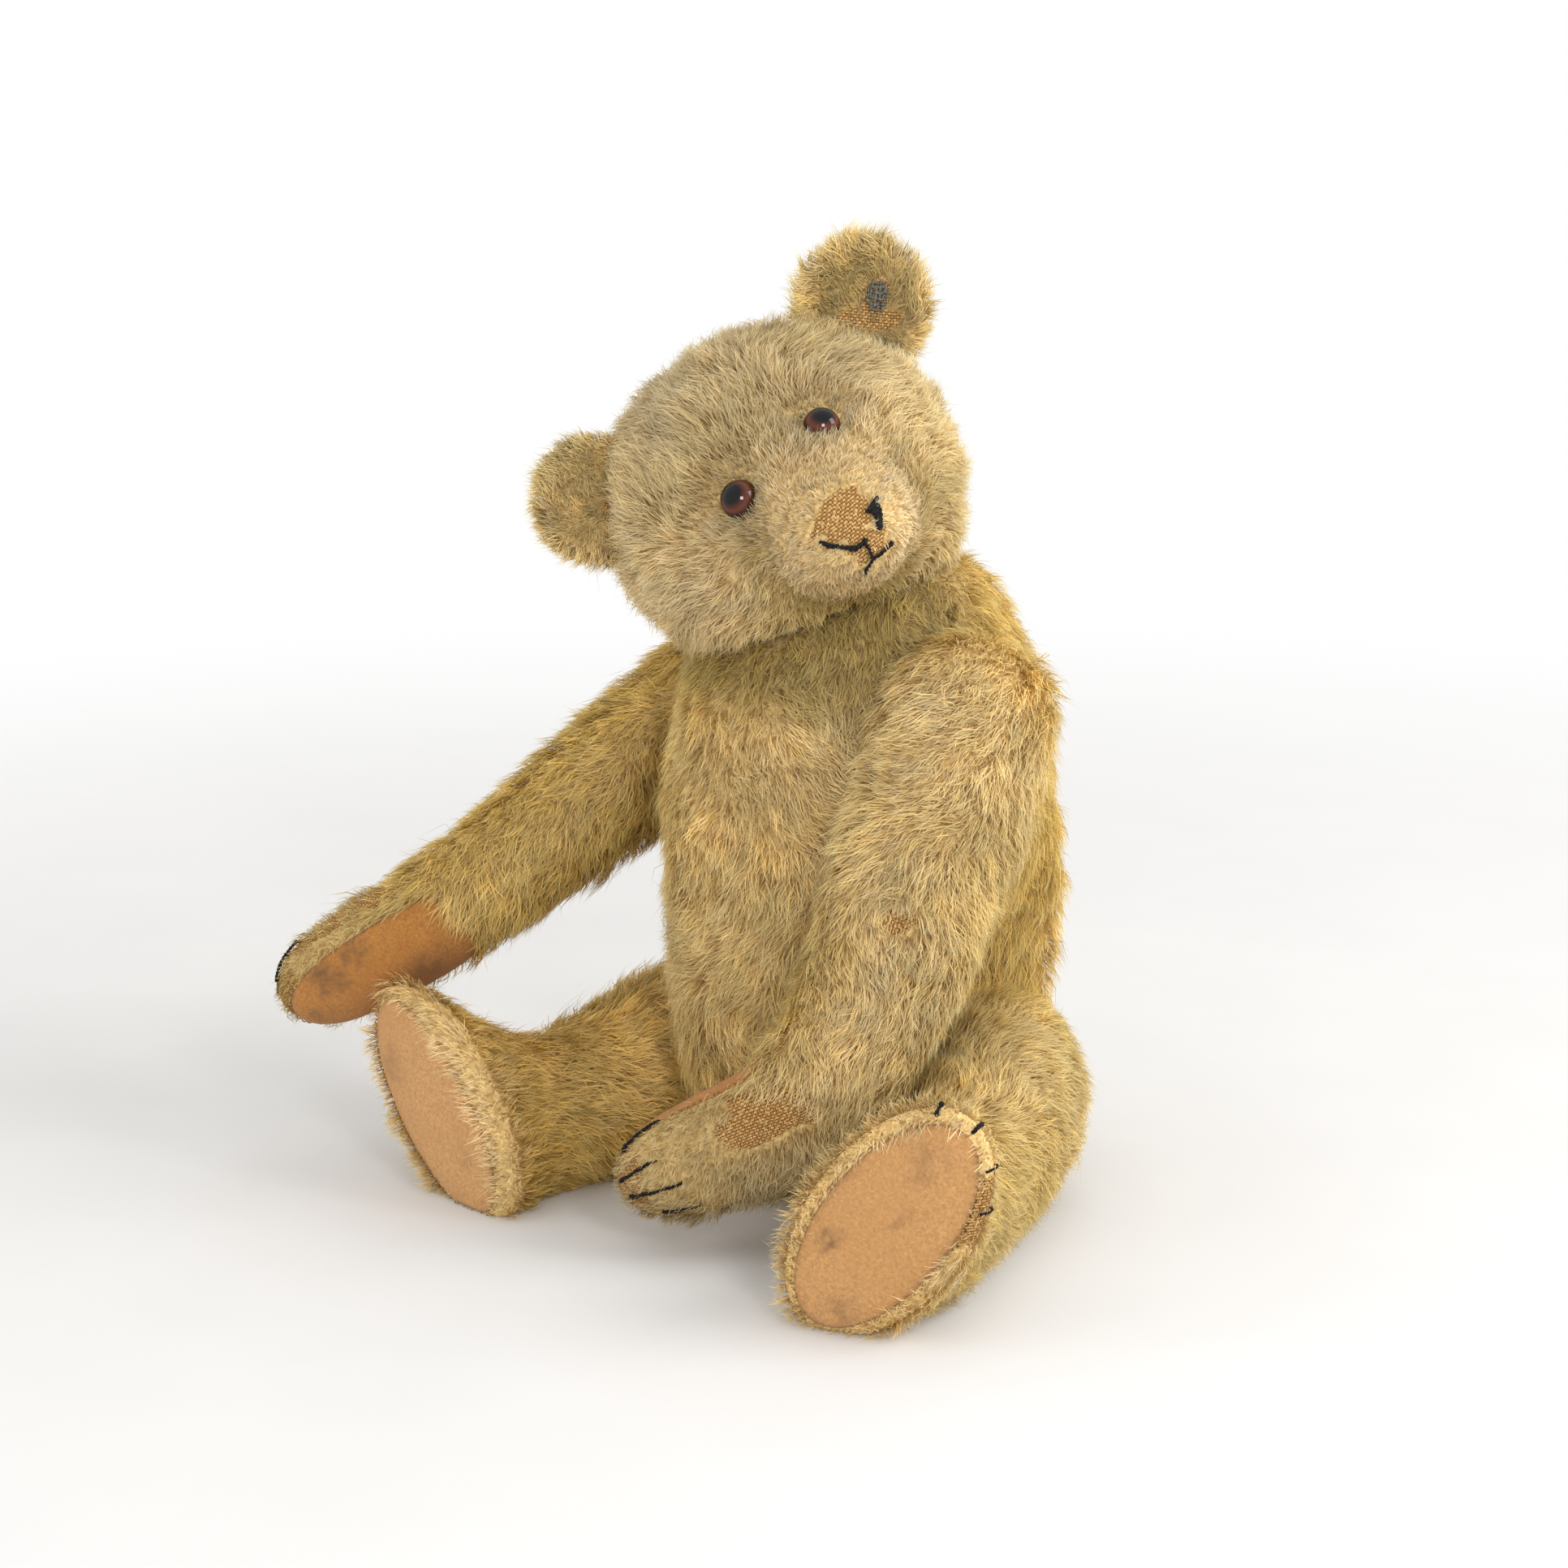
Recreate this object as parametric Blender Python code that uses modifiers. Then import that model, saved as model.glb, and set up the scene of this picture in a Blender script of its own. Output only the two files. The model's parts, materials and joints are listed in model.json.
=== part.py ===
"""A threadbare jointed teddy bear, sitting on a table.

Six mohair skins are stuffed hard with wood wool.  The head and the four limbs
turn on the body on five joints, each a pair of hardboard discs drawn together
by a cotter pin over two washers.  The bear faces -Y, its left is +X, and the
origin is the middle of its flat seat, on the table at z = 0.
"""

from math import cos, pi, radians, sin, tan

import bmesh
import bpy
from mathutils import Matrix, Vector
from mathutils.bvhtree import BVHTree

MM = 0.001

# ---------------------------------------------------------------- driving dimensions
SKIN = 1.6 * MM  # woven backing and the foot of the pile
STUFFING_INSET = 3.8 * MM  # from the outside of the skin to the stuffing
GAP = 0.3 * MM  # between pieces that touch
CAGE_SIDES = 8
CAGE_GROWTH = 1.09  # a cage stands this much outside the smooth form that it makes

# the joint stack, measured along the joint's axis from the plane where two skins meet
SKIN_AT = 0.2 * MM
DISC_AT = 2.6 * MM
DISC_THICKNESS = 2.0 * MM
WASHER_AT = 4.9 * MM
WASHER_THICKNESS = 0.8 * MM
PIN_HEAD_AT = 5.9 * MM
PIN_RADIUS = 1.1 * MM
PIN_EYE_RADIUS = 2.6 * MM
PIN_HOLE_RADIUS = 1.7 * MM
WASHER_RADIUS = 5.5 * MM
POCKET_DEPTH = 14.0 * MM
POCKET_RADIUS = 5.0 * MM

EYE_RADIUS = 5.6 * MM
EYE_SUNK = 2.3 * MM  # from the skin to the middle of the glass
THREAD_RADIUS = 0.55 * MM
THREAD_LIFT = 0.75 * MM

# joint name: point on the plane where the skins meet, axis outward, direction of the limb, disc radius
JOINTS = {
    "neck": ((-1.5, 1.6, 179.0), (-0.356, -0.134, 0.927), (0.8145, -0.539, 0.210), 15.0),
    "shoulder_left": ((40.5, -6.0, 149.0), (0.957, -0.252, 0.132), (0.0, -0.46, -0.888), 10.0),
    "shoulder_right": ((-41.5, 4.5, 150.0), (-0.935, 0.353, 0.0), (-0.3245, -0.7587, -0.5639), 10.0),
    "hip_left": ((33.7, -3.3, 29.7), (0.926, 0.378, 0.0), (0.378, -0.926, 0.0), 14.0),
    "hip_right": ((-32.4, 2.7, 29.7), (-0.989, 0.044, -0.14), (-0.044, -0.999, 0.0), 14.0),
}

# the torso is pressed flat by each limb as far as this from the joint's axis
PRESS_REACH = {"shoulder_left": 52, "shoulder_right": 46, "hip_left": 45, "hip_right": 42}
SWELL = 0.55
SEAT_DEPTH = {"torso": 15 * MM, "limb": 9 * MM}
SEAT_RIM = 13 * MM
SEAT_FADE = 10 * MM

# torso rings: height, half width, half depth, shift sideways, shift forward (-) or back (+)
TORSO_RINGS = (
    (4, 37, 44, 0, 5),
    (26, 48, 58, 0, 5),
    (66, 51, 62, 0, 4),
    (108, 51, 62, -2, 2),
    (144, 49, 57, -3, 1),
    (168, 42, 48, -3, 2),
    (185, 30, 33, -3, 4),
)
TORSO_BOTTOM = -16
TORSO_TOP = 201

# the head leans on its slack neck: its own upright and forward directions
HEAD_UP = (-0.461, -0.386, 0.7985)
HEAD_FORWARD = (0.8145, -0.539, 0.210)
HEAD_SHIFT = (-2.0, -2.0, 0.0)  # the head has slid a little on the neck

# head rings: forward of the neck axis, half width, half height, height of the middle over the neck
HEAD_BACK = -50
HEAD_RINGS = (
    (-41, 31, 29, 38),
    (-22, 46, 44, 38),
    (0, 51, 47, 37),
    (18, 48, 44, 35),
    (33, 39, 35, 30),
    (46, 27, 24, 25),
    (58, 19, 17, 22),
    (67, 14, 12, 21),
)
HEAD_NOSE = 71

# arm rings: distance from the shoulder, half thickness, half width
ARM_START = -25
ARM_RINGS = (
    (-17, 12, 18),
    (0, 17, 25),
    (28, 17, 24.5),
    (58, 16, 23),
    (90, 14.5, 20.5),
    (120, 13.5, 18.5),
    (146, 13.5, 17.5),
    (174, 11, 15),
)
ARM_END = 190
BEND_START = 94
BEND_END = 138
# upward and inward bend of each forearm
FOREARM_BEND = {"left": (radians(38), radians(44)), "right": (radians(2), radians(-19))}
ARM_OFFSET = 14.0  # from the joint plane to the middle of the arm
# the right arm is slacker and narrower than the left one, except at its paw
ARM_NARROWING = {"left": 0.0, "right": 0.2}
NARROW_TO = 100
FULL_FROM = 150
HEAD_CLEARANCE = 29 * MM  # the head's cheek gives way round the end of the right arm

# leg rings: distance from the hip, half thickness, half height, rise of the middle, twist outward
LEG_START = -42
LEG_RINGS = (
    (-31, 15, 21, 1, 0),
    (-12, 23, 31, 1, 0),
    (20, 23.5, 31, 0, 4),
    (54, 20, 24.5, -5, 14),
    (80, 18, 20.5, -9, 26),
    (98, 19, 29, -3, 34),
    (109, 22.5, 41, 3, 37),
    (116, 22, 41.5, 3, 38),
)
LEG_END = 118
LEG_OFFSET = 20.0
LEG_SPLAY = radians(6)

# places on the head, from the neck: forward, to its left, up; the face is a little uneven
EYES = {"left": (0, 13.5, 47.9), "right": (0, -18.2, 45.0)}
EARS = {"left": (-4, 55.3, 68.4), "right": (-4, -45.4, 69.5)}
EAR_SIZE = {"left": 0.93, "right": 0.86}
EAR_LEAN = radians(42)
# ear rings: height, half width, thickness, bend forward; and the same for its two ends
EAR_RINGS = ((-16, 17, 7, 0), (-4, 20, 8, 0), (8, 18, 7, 1.5), (15, 11, 5, 3))
EAR_ENDS = ((-19, 0), (18, 4))

FOOT_PAD = (37.5, 18.0)  # half height and half width of the felt sole
PAW_PAD = (33.0, 24.0)  # half length and half width of the felt paw pad, wrapped round the paw
PAW_PAD_AT = 152.0
PAW_PAD_DEPTH = (5.0, 22.0)  # from the middle of the arm towards the palm
# each palm faces in, and down (+) or up (-)
PALM_TURN = {"left": radians(-27), "right": radians(18)}

# what is left of the embroidery on the face: places to its left of and over the neck
NOSE_THREADS = {
    "nose_thread_left": ((6.5, 22.5), (6.2, 19.8), (4.4, 16.7)),
    "nose_thread_right": ((-10.9, 23.1), (-9.5, 20.8), (-7.4, 19.6), (-6.0, 17.4), (-3.8, 16.0), (-1.0, 16.2)),
}
MOUTH_LINE = ((-6.0, 8.8), (-4.0, 10.2), (-2.0, 11.2), (1.1, 10.8), (5.2, 11.4))
LIP_LINE = ((-1.4, 14.6), (-2.0, 11.2))
# claw stitches: from and to along the arm, and the angle round it from its outer side upward
PAW_CLAWS = {
    "left": ((173, 158, 84), (178, 163, 42), (177, 159, 1), (169, 157, -41)),
    "right": ((179, 164, 84), (182, 168, 60), (182, 168, 34), (180, 166, 8)),
}
# claw stitches on the left foot: angle from the toe, outward round the edge of the sole
FOOT_CLAWS = (-27, 4, 33, 56)
FOOT_CLAW_SPAN = (114, 106)


# ---------------------------------------------------------------- scene helpers
def clear_scene():
    for obj in list(bpy.data.objects):
        bpy.data.objects.remove(obj, do_unlink=True)


def new_collection(name):
    collection = bpy.data.collections.new(name)
    bpy.context.scene.collection.children.link(collection)
    return collection


def material(name, colour, roughness, metallic=0.0):
    made = bpy.data.materials.new(name)
    made.use_nodes = True
    shader = made.node_tree.nodes["Principled BSDF"]
    shader.inputs["Base Color"].default_value = (*colour, 1.0)
    shader.inputs["Roughness"].default_value = roughness
    shader.inputs["Metallic"].default_value = metallic
    made.diffuse_color = (*colour, 1.0)
    return made


clear_scene()
PARTS = new_collection("teddy_bear")
CUTTERS = new_collection("cutters")
MOHAIR = material("mohair", (0.52, 0.40, 0.20), 0.95)
FELT = material("felt", (0.70, 0.34, 0.14), 0.95)
WOOD_WOOL = material("wood_wool", (0.62, 0.50, 0.30), 0.9)
HARDBOARD = material("hardboard", (0.30, 0.20, 0.12), 0.85)
STEEL = material("steel", (0.45, 0.43, 0.40), 0.45, 1.0)
GLASS = material("glass_eye", (0.05, 0.015, 0.006), 0.06)
THREAD = material("thread", (0.012, 0.012, 0.014), 0.8)


def add_object(name, mesh, parent=None, collection=None, look=None):
    obj = bpy.data.objects.new(name, mesh)
    (collection or PARTS).objects.link(obj)
    obj.parent = parent
    if look:
        mesh.materials.clear()
        mesh.materials.append(look)
    return obj


def as_cutter(obj):
    """A helper object that only cuts: hidden from renders, drawn as wire."""
    for collection in obj.users_collection:
        collection.objects.unlink(obj)
    CUTTERS.objects.link(obj)
    obj.hide_render = True
    obj.display_type = "WIRE"
    return obj


def joint_frame(name):
    """Matrix of a joint: local X along the limb, local Z outward along the axis."""
    point, axis, direction, _ = JOINTS[name]
    z = Vector(axis).normalized()
    x = Vector(direction)
    x = (x - x.dot(z) * z).normalized()
    y = z.cross(x)
    frame = Matrix((x, y, z)).transposed().to_4x4()
    frame.translation = Vector(point) * MM
    return frame


def joint_empty(name):
    empty = bpy.data.objects.new(name, None)
    empty.empty_display_size = 20 * MM
    PARTS.objects.link(empty)
    empty.matrix_world = joint_frame(name)
    return empty


# ---------------------------------------------------------------- soft forms
def cage(name, rings, start, end):
    """Closed cage through rings given as (middle, half axis a, half axis b) in millimetres."""
    bm = bmesh.new()
    loops = []
    for middle, half_a, half_b in rings:
        loop = []
        for k in range(CAGE_SIDES):
            angle = 2 * pi * (k + 0.5) / CAGE_SIDES
            point = middle + CAGE_GROWTH * (half_a * cos(angle) + half_b * sin(angle))
            loop.append(bm.verts.new(point * MM))
        loops.append(loop)
    for lower, upper in zip(loops, loops[1:]):
        for k in range(CAGE_SIDES):
            n = (k + 1) % CAGE_SIDES
            bm.faces.new((lower[k], lower[n], upper[n], upper[k]))
    for pole, loop in ((start, loops[0]), (end, loops[-1])):
        tip = bm.verts.new(pole * MM)
        for k in range(CAGE_SIDES):
            bm.faces.new((loop[k], loop[(k + 1) % CAGE_SIDES], tip))
    bmesh.ops.recalc_face_normals(bm, faces=bm.faces)
    mesh = bpy.data.meshes.new(name)
    bm.to_mesh(mesh)
    bm.free()
    return mesh


def evaluated(obj):
    """The object's mesh with its modifiers applied."""
    graph = bpy.context.evaluated_depsgraph_get()
    return bpy.data.meshes.new_from_object(obj.evaluated_get(graph))


def smooth_form(name, mesh, levels=1):
    """The cage's smooth form, as a plain mesh."""
    obj = add_object(name + "_form", mesh)
    soft = obj.modifiers.new("soft", "SUBSURF")
    soft.levels = levels
    soft.render_levels = levels
    made = evaluated(obj)
    bpy.data.objects.remove(obj)
    return made


def press_flat(mesh, point, normal, reach=None):
    """Press what stands beyond a plane back onto it, as stuffing gives way.

    Past the reach of a limb's round end the plush may swell beyond the plane again.
    """
    normal = normal.normalized()
    for vertex in mesh.vertices:
        offset = vertex.co - point
        beyond = offset.dot(normal)
        if reach:
            beyond -= SWELL * max(0.0, (offset - beyond * normal).length - reach * MM)
        if beyond > 0:
            vertex.co -= beyond * normal


def seat_on_disc(mesh, point, normal, radius, depth):
    """Draw a skin flat onto the plane of its joint over the whole of the disc inside it."""
    normal = normal.normalized()
    for vertex in mesh.vertices:
        offset = vertex.co - point
        beyond = offset.dot(normal)
        past_rim = (offset - beyond * normal).length - radius - SEAT_RIM
        if beyond > -depth:
            vertex.co -= beyond * normal * min(1.0, max(0.0, 1 - past_rim / SEAT_FADE))


def seat_limb(form, joint):
    """The same for a limb or the head, in its joint's frame."""
    radius = JOINTS[joint][3] * MM
    seat_on_disc(form, Vector((0, 0, SKIN_AT)), Vector((0, 0, -1)), radius, SEAT_DEPTH["limb"])


def press_on_table(mesh, frame):
    """Flatten the underside where it lies on the table, for a mesh in a joint's frame."""
    to_local = frame.inverted()
    press_flat(mesh, to_local.translation, to_local.to_3x3() @ Vector((0, 0, -1)))


def inset(mesh, name, depth):
    """A copy of a closed form, shrunk along its normals."""
    made = mesh.copy()
    made.name = name
    normals = [vertex.normal.copy() for vertex in made.vertices]
    for vertex, normal in zip(made.vertices, normals):
        vertex.co -= depth * normal
    return made


def cut(obj, cutter, operation="DIFFERENCE"):
    boolean = obj.modifiers.new(operation.lower() + "_" + cutter.name[:30], "BOOLEAN")
    boolean.operation = operation
    boolean.object = cutter


def shell(name, form, parent, look=MOHAIR):
    """A sewn skin: the form with the thickness of the cloth inside it."""
    obj = add_object(name, form.copy(), parent, look=look)
    cloth = obj.modifiers.new("cloth", "SOLIDIFY")
    cloth.thickness = SKIN
    cloth.offset = -1
    return obj


# ---------------------------------------------------------------- turned and drawn forms
def turned(name, profile, steps, parent=None, look=None):
    """A solid of revolution about local Z; the profile runs down its outer side."""
    bm = bmesh.new()
    points = [bm.verts.new((radius, 0, height)) for radius, height in profile]
    for a, b in zip(points, points[1:]):
        bm.edges.new((a, b))
    if profile[0][0] > 0 or profile[-1][0] > 0:
        bm.edges.new((points[-1], points[0]))
    mesh = bpy.data.meshes.new(name)
    bm.to_mesh(mesh)
    bm.free()
    obj = add_object(name, mesh, parent, look=look)
    screw = obj.modifiers.new("turn", "SCREW")
    screw.steps = steps
    screw.render_steps = steps
    screw.use_merge_vertices = True
    screw.merge_threshold = 0.00001
    return obj


def ring_piece(name, inner, outer, low, high, steps, parent, look):
    profile = ((outer, high), (outer, low), (inner, low), (inner, high))
    return turned(name, profile, steps, parent, look)


def drawn(name, points, radius, parent, look, sides=1):
    """A thread or wire along points, as one closed tube."""
    curve = bpy.data.curves.new(name, "CURVE")
    curve.dimensions = "3D"
    curve.bevel_depth = radius
    curve.bevel_resolution = sides
    curve.use_fill_caps = True
    spline = curve.splines.new("POLY")
    spline.points.add(len(points) - 1)
    for target, point in zip(spline.points, points):
        target.co = (*point, 1.0)
    obj = bpy.data.objects.new(name, curve)
    PARTS.objects.link(obj)
    mesh = evaluated(obj)
    bpy.data.objects.remove(obj)
    bm = bmesh.new()
    bm.from_mesh(mesh)
    bmesh.ops.remove_doubles(bm, verts=bm.verts, dist=0.00001)
    bmesh.ops.recalc_face_normals(bm, faces=bm.faces)
    bm.to_mesh(mesh)
    bm.free()
    return add_object(name, mesh, parent, look=look)


def cylinder_cutter(name, radius, low, high, frame, segments=24):
    bm = bmesh.new()
    bmesh.ops.create_cone(
        bm,
        cap_ends=True,
        segments=segments,
        radius1=radius,
        radius2=radius,
        depth=high - low,
        matrix=Matrix.Translation((0, 0, (low + high) / 2)),
    )
    mesh = bpy.data.meshes.new(name)
    bm.to_mesh(mesh)
    bm.free()
    obj = as_cutter(add_object(name, mesh))
    obj.matrix_world = frame
    return obj


# ---------------------------------------------------------------- joints
def pin_hole(joint, frame):
    """Cuts the skins on both sides of a joint."""
    deep = SKIN_AT + SKIN + 0.2 * MM
    return cylinder_cutter(joint + "_pin_hole", PIN_HOLE_RADIUS, -deep, deep, frame, 16)


def joint_pocket(joint, frame, side):
    """The space in the stuffing for a disc, a washer and the end of the pin."""
    disc = JOINTS[joint][3] * MM + 2 * GAP
    washer_top = WASHER_AT + WASHER_THICKNESS + GAP
    profile = (
        (0, POCKET_DEPTH),
        (POCKET_RADIUS, POCKET_DEPTH),
        (WASHER_RADIUS + GAP, washer_top),
        (WASHER_RADIUS + GAP, WASHER_AT - GAP / 2),
        (disc, WASHER_AT - GAP / 2),
        (disc, -GAP),
        (0, -GAP),
    )
    if side < 0:
        profile = tuple((radius, -height) for radius, height in reversed(profile))
    obj = as_cutter(turned(f"{joint}_pocket_{'torso' if side < 0 else 'limb'}", profile, 14))
    obj.matrix_world = frame
    return obj


def joint_pieces(joint, torso_side, limb_side):
    """Discs and washers on both sides, and the cotter pin with its legs curled in the torso."""
    disc_radius = JOINTS[joint][3] * MM
    for label, parent, sign in (("torso", torso_side, -1), ("limb", limb_side, 1)):
        for kind, at, thick, outer, steps, look in (
            ("disc", DISC_AT, DISC_THICKNESS, disc_radius, 16, HARDBOARD),
            ("washer", WASHER_AT, WASHER_THICKNESS, WASHER_RADIUS, 10, STEEL),
        ):
            low, high = sorted((sign * at, sign * (at + thick)))
            name = f"{joint}_{kind}_{label}"
            obj = ring_piece(name, PIN_HOLE_RADIUS, outer, low, high, steps, parent, look)
            obj.matrix_parent_inverse = Matrix.Identity(4)
    # the eye of the pin bears on the limb's washer, and its curled legs on the torso's
    eye = PIN_EYE_RADIUS
    points = []
    for k in range(9):
        angle = radians(250 - k * 34)
        points.append((eye * cos(angle), 0, PIN_HEAD_AT + eye + PIN_RADIUS + eye * sin(angle)))
    points.reverse()
    foot = -(PIN_HEAD_AT + PIN_RADIUS)
    points += [(0, 0, PIN_HEAD_AT - PIN_RADIUS), (0, 0, 0), (0, 0, -PIN_HEAD_AT + PIN_RADIUS)]
    points += [(0.7 * MM, 0, foot - 0.6 * MM), (2.4 * MM, 0, foot - 1.4 * MM)]
    points += [(3.6 * MM, 0, foot - 3.0 * MM), (2.6 * MM, 0, foot - 4.6 * MM)]
    drawn(joint + "_pin", points, PIN_RADIUS, torso_side, STEEL)


# ---------------------------------------------------------------- torso
def build_torso(frames):
    rings = []
    for height, wide, deep, sideways, back in TORSO_RINGS:
        middle = Vector((sideways, back, height))
        rings.append((middle, Vector((wide, 0, 0)), Vector((0, deep, 0))))
    low = Vector((0, 2, TORSO_BOTTOM))
    high = Vector((-4, 4, TORSO_TOP))
    form = smooth_form("torso", cage("torso_cage", rings, low, high))
    press_flat(form, Vector((0, 0, 0)), Vector((0, 0, -1)))
    planes = {}
    for joint, frame in frames.items():
        axis = frame.to_3x3() @ Vector((0, 0, 1))
        planes[joint] = (frame.translation - SKIN_AT * axis, axis)
        seat_on_disc(form, *planes[joint], JOINTS[joint][3] * MM, SEAT_DEPTH["torso"])
    for joint, plane in planes.items():
        press_flat(form, *plane, PRESS_REACH.get(joint))
    skin = shell("torso_skin", form, None)
    stuffing = stuffing_of(form, "torso_stuffing", None, 1.0)
    for joint, frame in frames.items():
        cut(skin, pin_hole(joint + "_torso", frame))
        cut(stuffing, joint_pocket(joint, frame, -1))


# ---------------------------------------------------------------- limbs
def limb_point(side, along, rise, out):
    """A point of a limb's frame: along it, upward in its plane, and outward from the torso."""
    return Vector((along, -side * rise, out))


def leg_form(side, frame):
    rings = []
    for along, thick, high, rise, twist in LEG_RINGS:
        angle = radians(twist)
        out = LEG_OFFSET + along * tan(LEG_SPLAY)
        middle = limb_point(side, along, rise, out)
        across = limb_point(side, 0, -thick * sin(angle), thick * cos(angle))
        upward = limb_point(side, 0, high * cos(angle), high * sin(angle))
        rings.append((middle, across, upward))
    start = limb_point(side, LEG_START, 0, LEG_OFFSET)
    end = limb_point(side, LEG_END, 3, LEG_OFFSET + LEG_END * tan(LEG_SPLAY))
    form = smooth_form("leg", cage("leg_cage", rings, start, end))
    press_flat(form, Vector((0, 0, SKIN_AT)), Vector((0, 0, -1)))
    seat_limb(form, "hip_left")
    press_on_table(form, frame)
    return form


def arm_path(side, along):
    """Middle of the arm at a distance along it, and the directions along and across it."""
    up, inward = FOREARM_BEND["left" if side > 0 else "right"]
    middle = Vector((0, 0, ARM_OFFSET))
    direction = Vector((1, 0, 0))
    if along < 0:
        return middle + along * direction, direction, Vector((0, 0, 1))
    for step in range(round(along)):
        share = min(1.0, max(0.0, (step - BEND_START) / (BEND_END - BEND_START)))
        share = share * share * (3 - 2 * share)
        direction = Vector((1, tan(up * share), -tan(inward * share))).normalized()
        middle = middle + direction
    across = Vector((0, 0, 1))
    across = (across - across.dot(direction) * direction).normalized()
    return middle, direction, across


def arm_width(side, along):
    """Share of its full width that an arm has there."""
    slack = (FULL_FROM - along) / (FULL_FROM - NARROW_TO)
    return 1 - ARM_NARROWING["left" if side > 0 else "right"] * min(1.0, max(0.0, slack))


def arm_form(side):
    rings = []
    for along, thick, wide in ARM_RINGS:
        middle, direction, across = arm_path(side, along)
        upward = across.cross(direction) * wide * arm_width(side, along)
        across = across * thick
        rings.append([limb_point(side, *vector) for vector in (middle, across, upward)])
    start = limb_point(side, ARM_START * arm_width(side, ARM_START), 0, ARM_OFFSET)
    end = limb_point(side, *arm_path(side, ARM_END)[0])
    form = smooth_form("arm", cage("arm_cage", rings, start, end))
    for vertex in form.vertices:
        if vertex.co.x < 55 * MM:
            vertex.co.z = max(vertex.co.z, SKIN_AT)
    seat_limb(form, "shoulder_left")
    return form


def oval_prism(name, half_a, half_b, low, high, frame):
    """A straight prism with an oval outline, to cut a pad and its place."""
    obj = cylinder_cutter(name, 1.0, low, high, frame)
    obj.data.transform(Matrix.Diagonal((half_a, half_b, 1, 1)))
    return obj


def add_pad(name, form, skin, parent, half_a, half_b, low, high, frame):
    """A felt pad sewn into the skin: the shell inside an oval, and its hole in the skin."""
    pad = shell(name, form, parent, FELT)
    cut(pad, oval_prism(name + "_outline", half_a, half_b, low, high, frame), "INTERSECT")
    hole = oval_prism(name + "_hole", half_a + GAP, half_b + GAP, low - GAP, high + GAP, frame)
    cut(skin, hole)


def build_leg(side_name, side, frame, empty):
    joint = "hip_" + side_name
    form = leg_form(side, frame)
    skin = shell(f"leg_{side_name}_skin", form, empty)
    cut(skin, pin_hole(joint + "_limb", frame))
    twist = radians(LEG_RINGS[-1][4])
    out = (LEG_OFFSET + LEG_END * tan(LEG_SPLAY)) * MM
    z = limb_point(side, 1, 0, 0)
    x = limb_point(side, 0, cos(twist), sin(twist))
    local = Matrix((x, z.cross(x), z)).transposed().to_4x4()
    local.translation = limb_point(side, 0, 3 * MM, out)
    high, wide = FOOT_PAD
    add_pad(
        f"leg_{side_name}_foot_pad",
        form,
        skin,
        empty,
        high * MM,
        wide * MM,
        (LEG_END - 5.5) * MM,
        (LEG_END + 6) * MM,
        frame @ local,
    )
    filled = stuffing_of(form, f"leg_{side_name}_stuffing", empty)
    cut(filled, joint_pocket(joint, frame, 1))
    if side > 0:
        sew_foot_claws(side_name, side, form, empty)


def build_arm(side_name, side, frame, empty):
    joint = "shoulder_" + side_name
    form = arm_form(side)
    skin = shell(f"arm_{side_name}_skin", form, empty)
    cut(skin, pin_hole(joint + "_limb", frame))
    middle, direction, across = arm_path(side, PAW_PAD_AT)
    upward = across.cross(direction)
    turn = PALM_TURN[side_name]
    palm = -across * cos(turn) - upward * sin(turn)
    x = limb_point(side, *direction)
    z = limb_point(side, *palm)
    local = Matrix((x, z.cross(x), z)).transposed().to_4x4()
    local.translation = limb_point(side, *middle) * MM
    long, wide = PAW_PAD
    add_pad(
        f"arm_{side_name}_paw_pad",
        form,
        skin,
        empty,
        long * MM,
        wide * MM,
        PAW_PAD_DEPTH[0] * MM,
        PAW_PAD_DEPTH[1] * MM,
        frame @ local,
    )
    filled = stuffing_of(form, f"arm_{side_name}_stuffing", empty)
    cut(filled, joint_pocket(joint, frame, 1))
    sew_paw_claws(side_name, side, form, empty)


# ---------------------------------------------------------------- head
def head_frame(frame):
    """The head's own directions in the neck joint's frame: forward, to its left, up."""
    up = Vector(HEAD_UP).normalized()
    forward = Vector(HEAD_FORWARD)
    forward = (forward - forward.dot(up) * up).normalized()
    own = Matrix((forward, up.cross(forward), up)).transposed().to_4x4()
    own.translation = frame.translation + Vector(HEAD_SHIFT) * MM
    return frame.inverted() @ own


def give_way(form, shoulder):
    """Dent the cheek round the end of the arm, so that the arm can turn under it."""
    to_shoulder = shoulder.inverted()
    for vertex in form.vertices:
        place = to_shoulder @ vertex.co
        radial = Vector((place.x, place.y, 0))
        if place.z > -2 * MM and radial.length < HEAD_CLEARANCE:
            place += radial.normalized() * (HEAD_CLEARANCE - radial.length)
            vertex.co = shoulder @ place


def head_form(lean, frame):
    rings = []
    for along, wide, high, middle in HEAD_RINGS:
        rings.append((Vector((along, 0, middle)), Vector((0, wide, 0)), Vector((0, 0, high))))
    start = Vector((HEAD_BACK, 0, HEAD_RINGS[0][3]))
    end = Vector((HEAD_NOSE, 0, HEAD_RINGS[-1][3]))
    form = smooth_form("head", cage("head_cage", rings, start, end))
    form.transform(lean)
    give_way(form, frame.inverted() @ joint_frame("shoulder_right"))
    press_flat(form, Vector((0, 0, SKIN_AT)), Vector((0, 0, -1)))
    seat_limb(form, "neck")
    return form


def stuffing_of(form, name, parent, share=0.6):
    """Wood wool that fills a skin, as a coarser solid a little inside it."""
    filled = add_object(name, inset(form, name, STUFFING_INSET), parent, look=WOOD_WOOL)
    coarse = filled.modifiers.new("coarse", "DECIMATE")
    coarse.ratio = share
    return filled


def surface_of(form):
    bm = bmesh.new()
    bm.from_mesh(form)
    tree = BVHTree.FromBMesh(bm)
    bm.free()
    return tree


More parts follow.
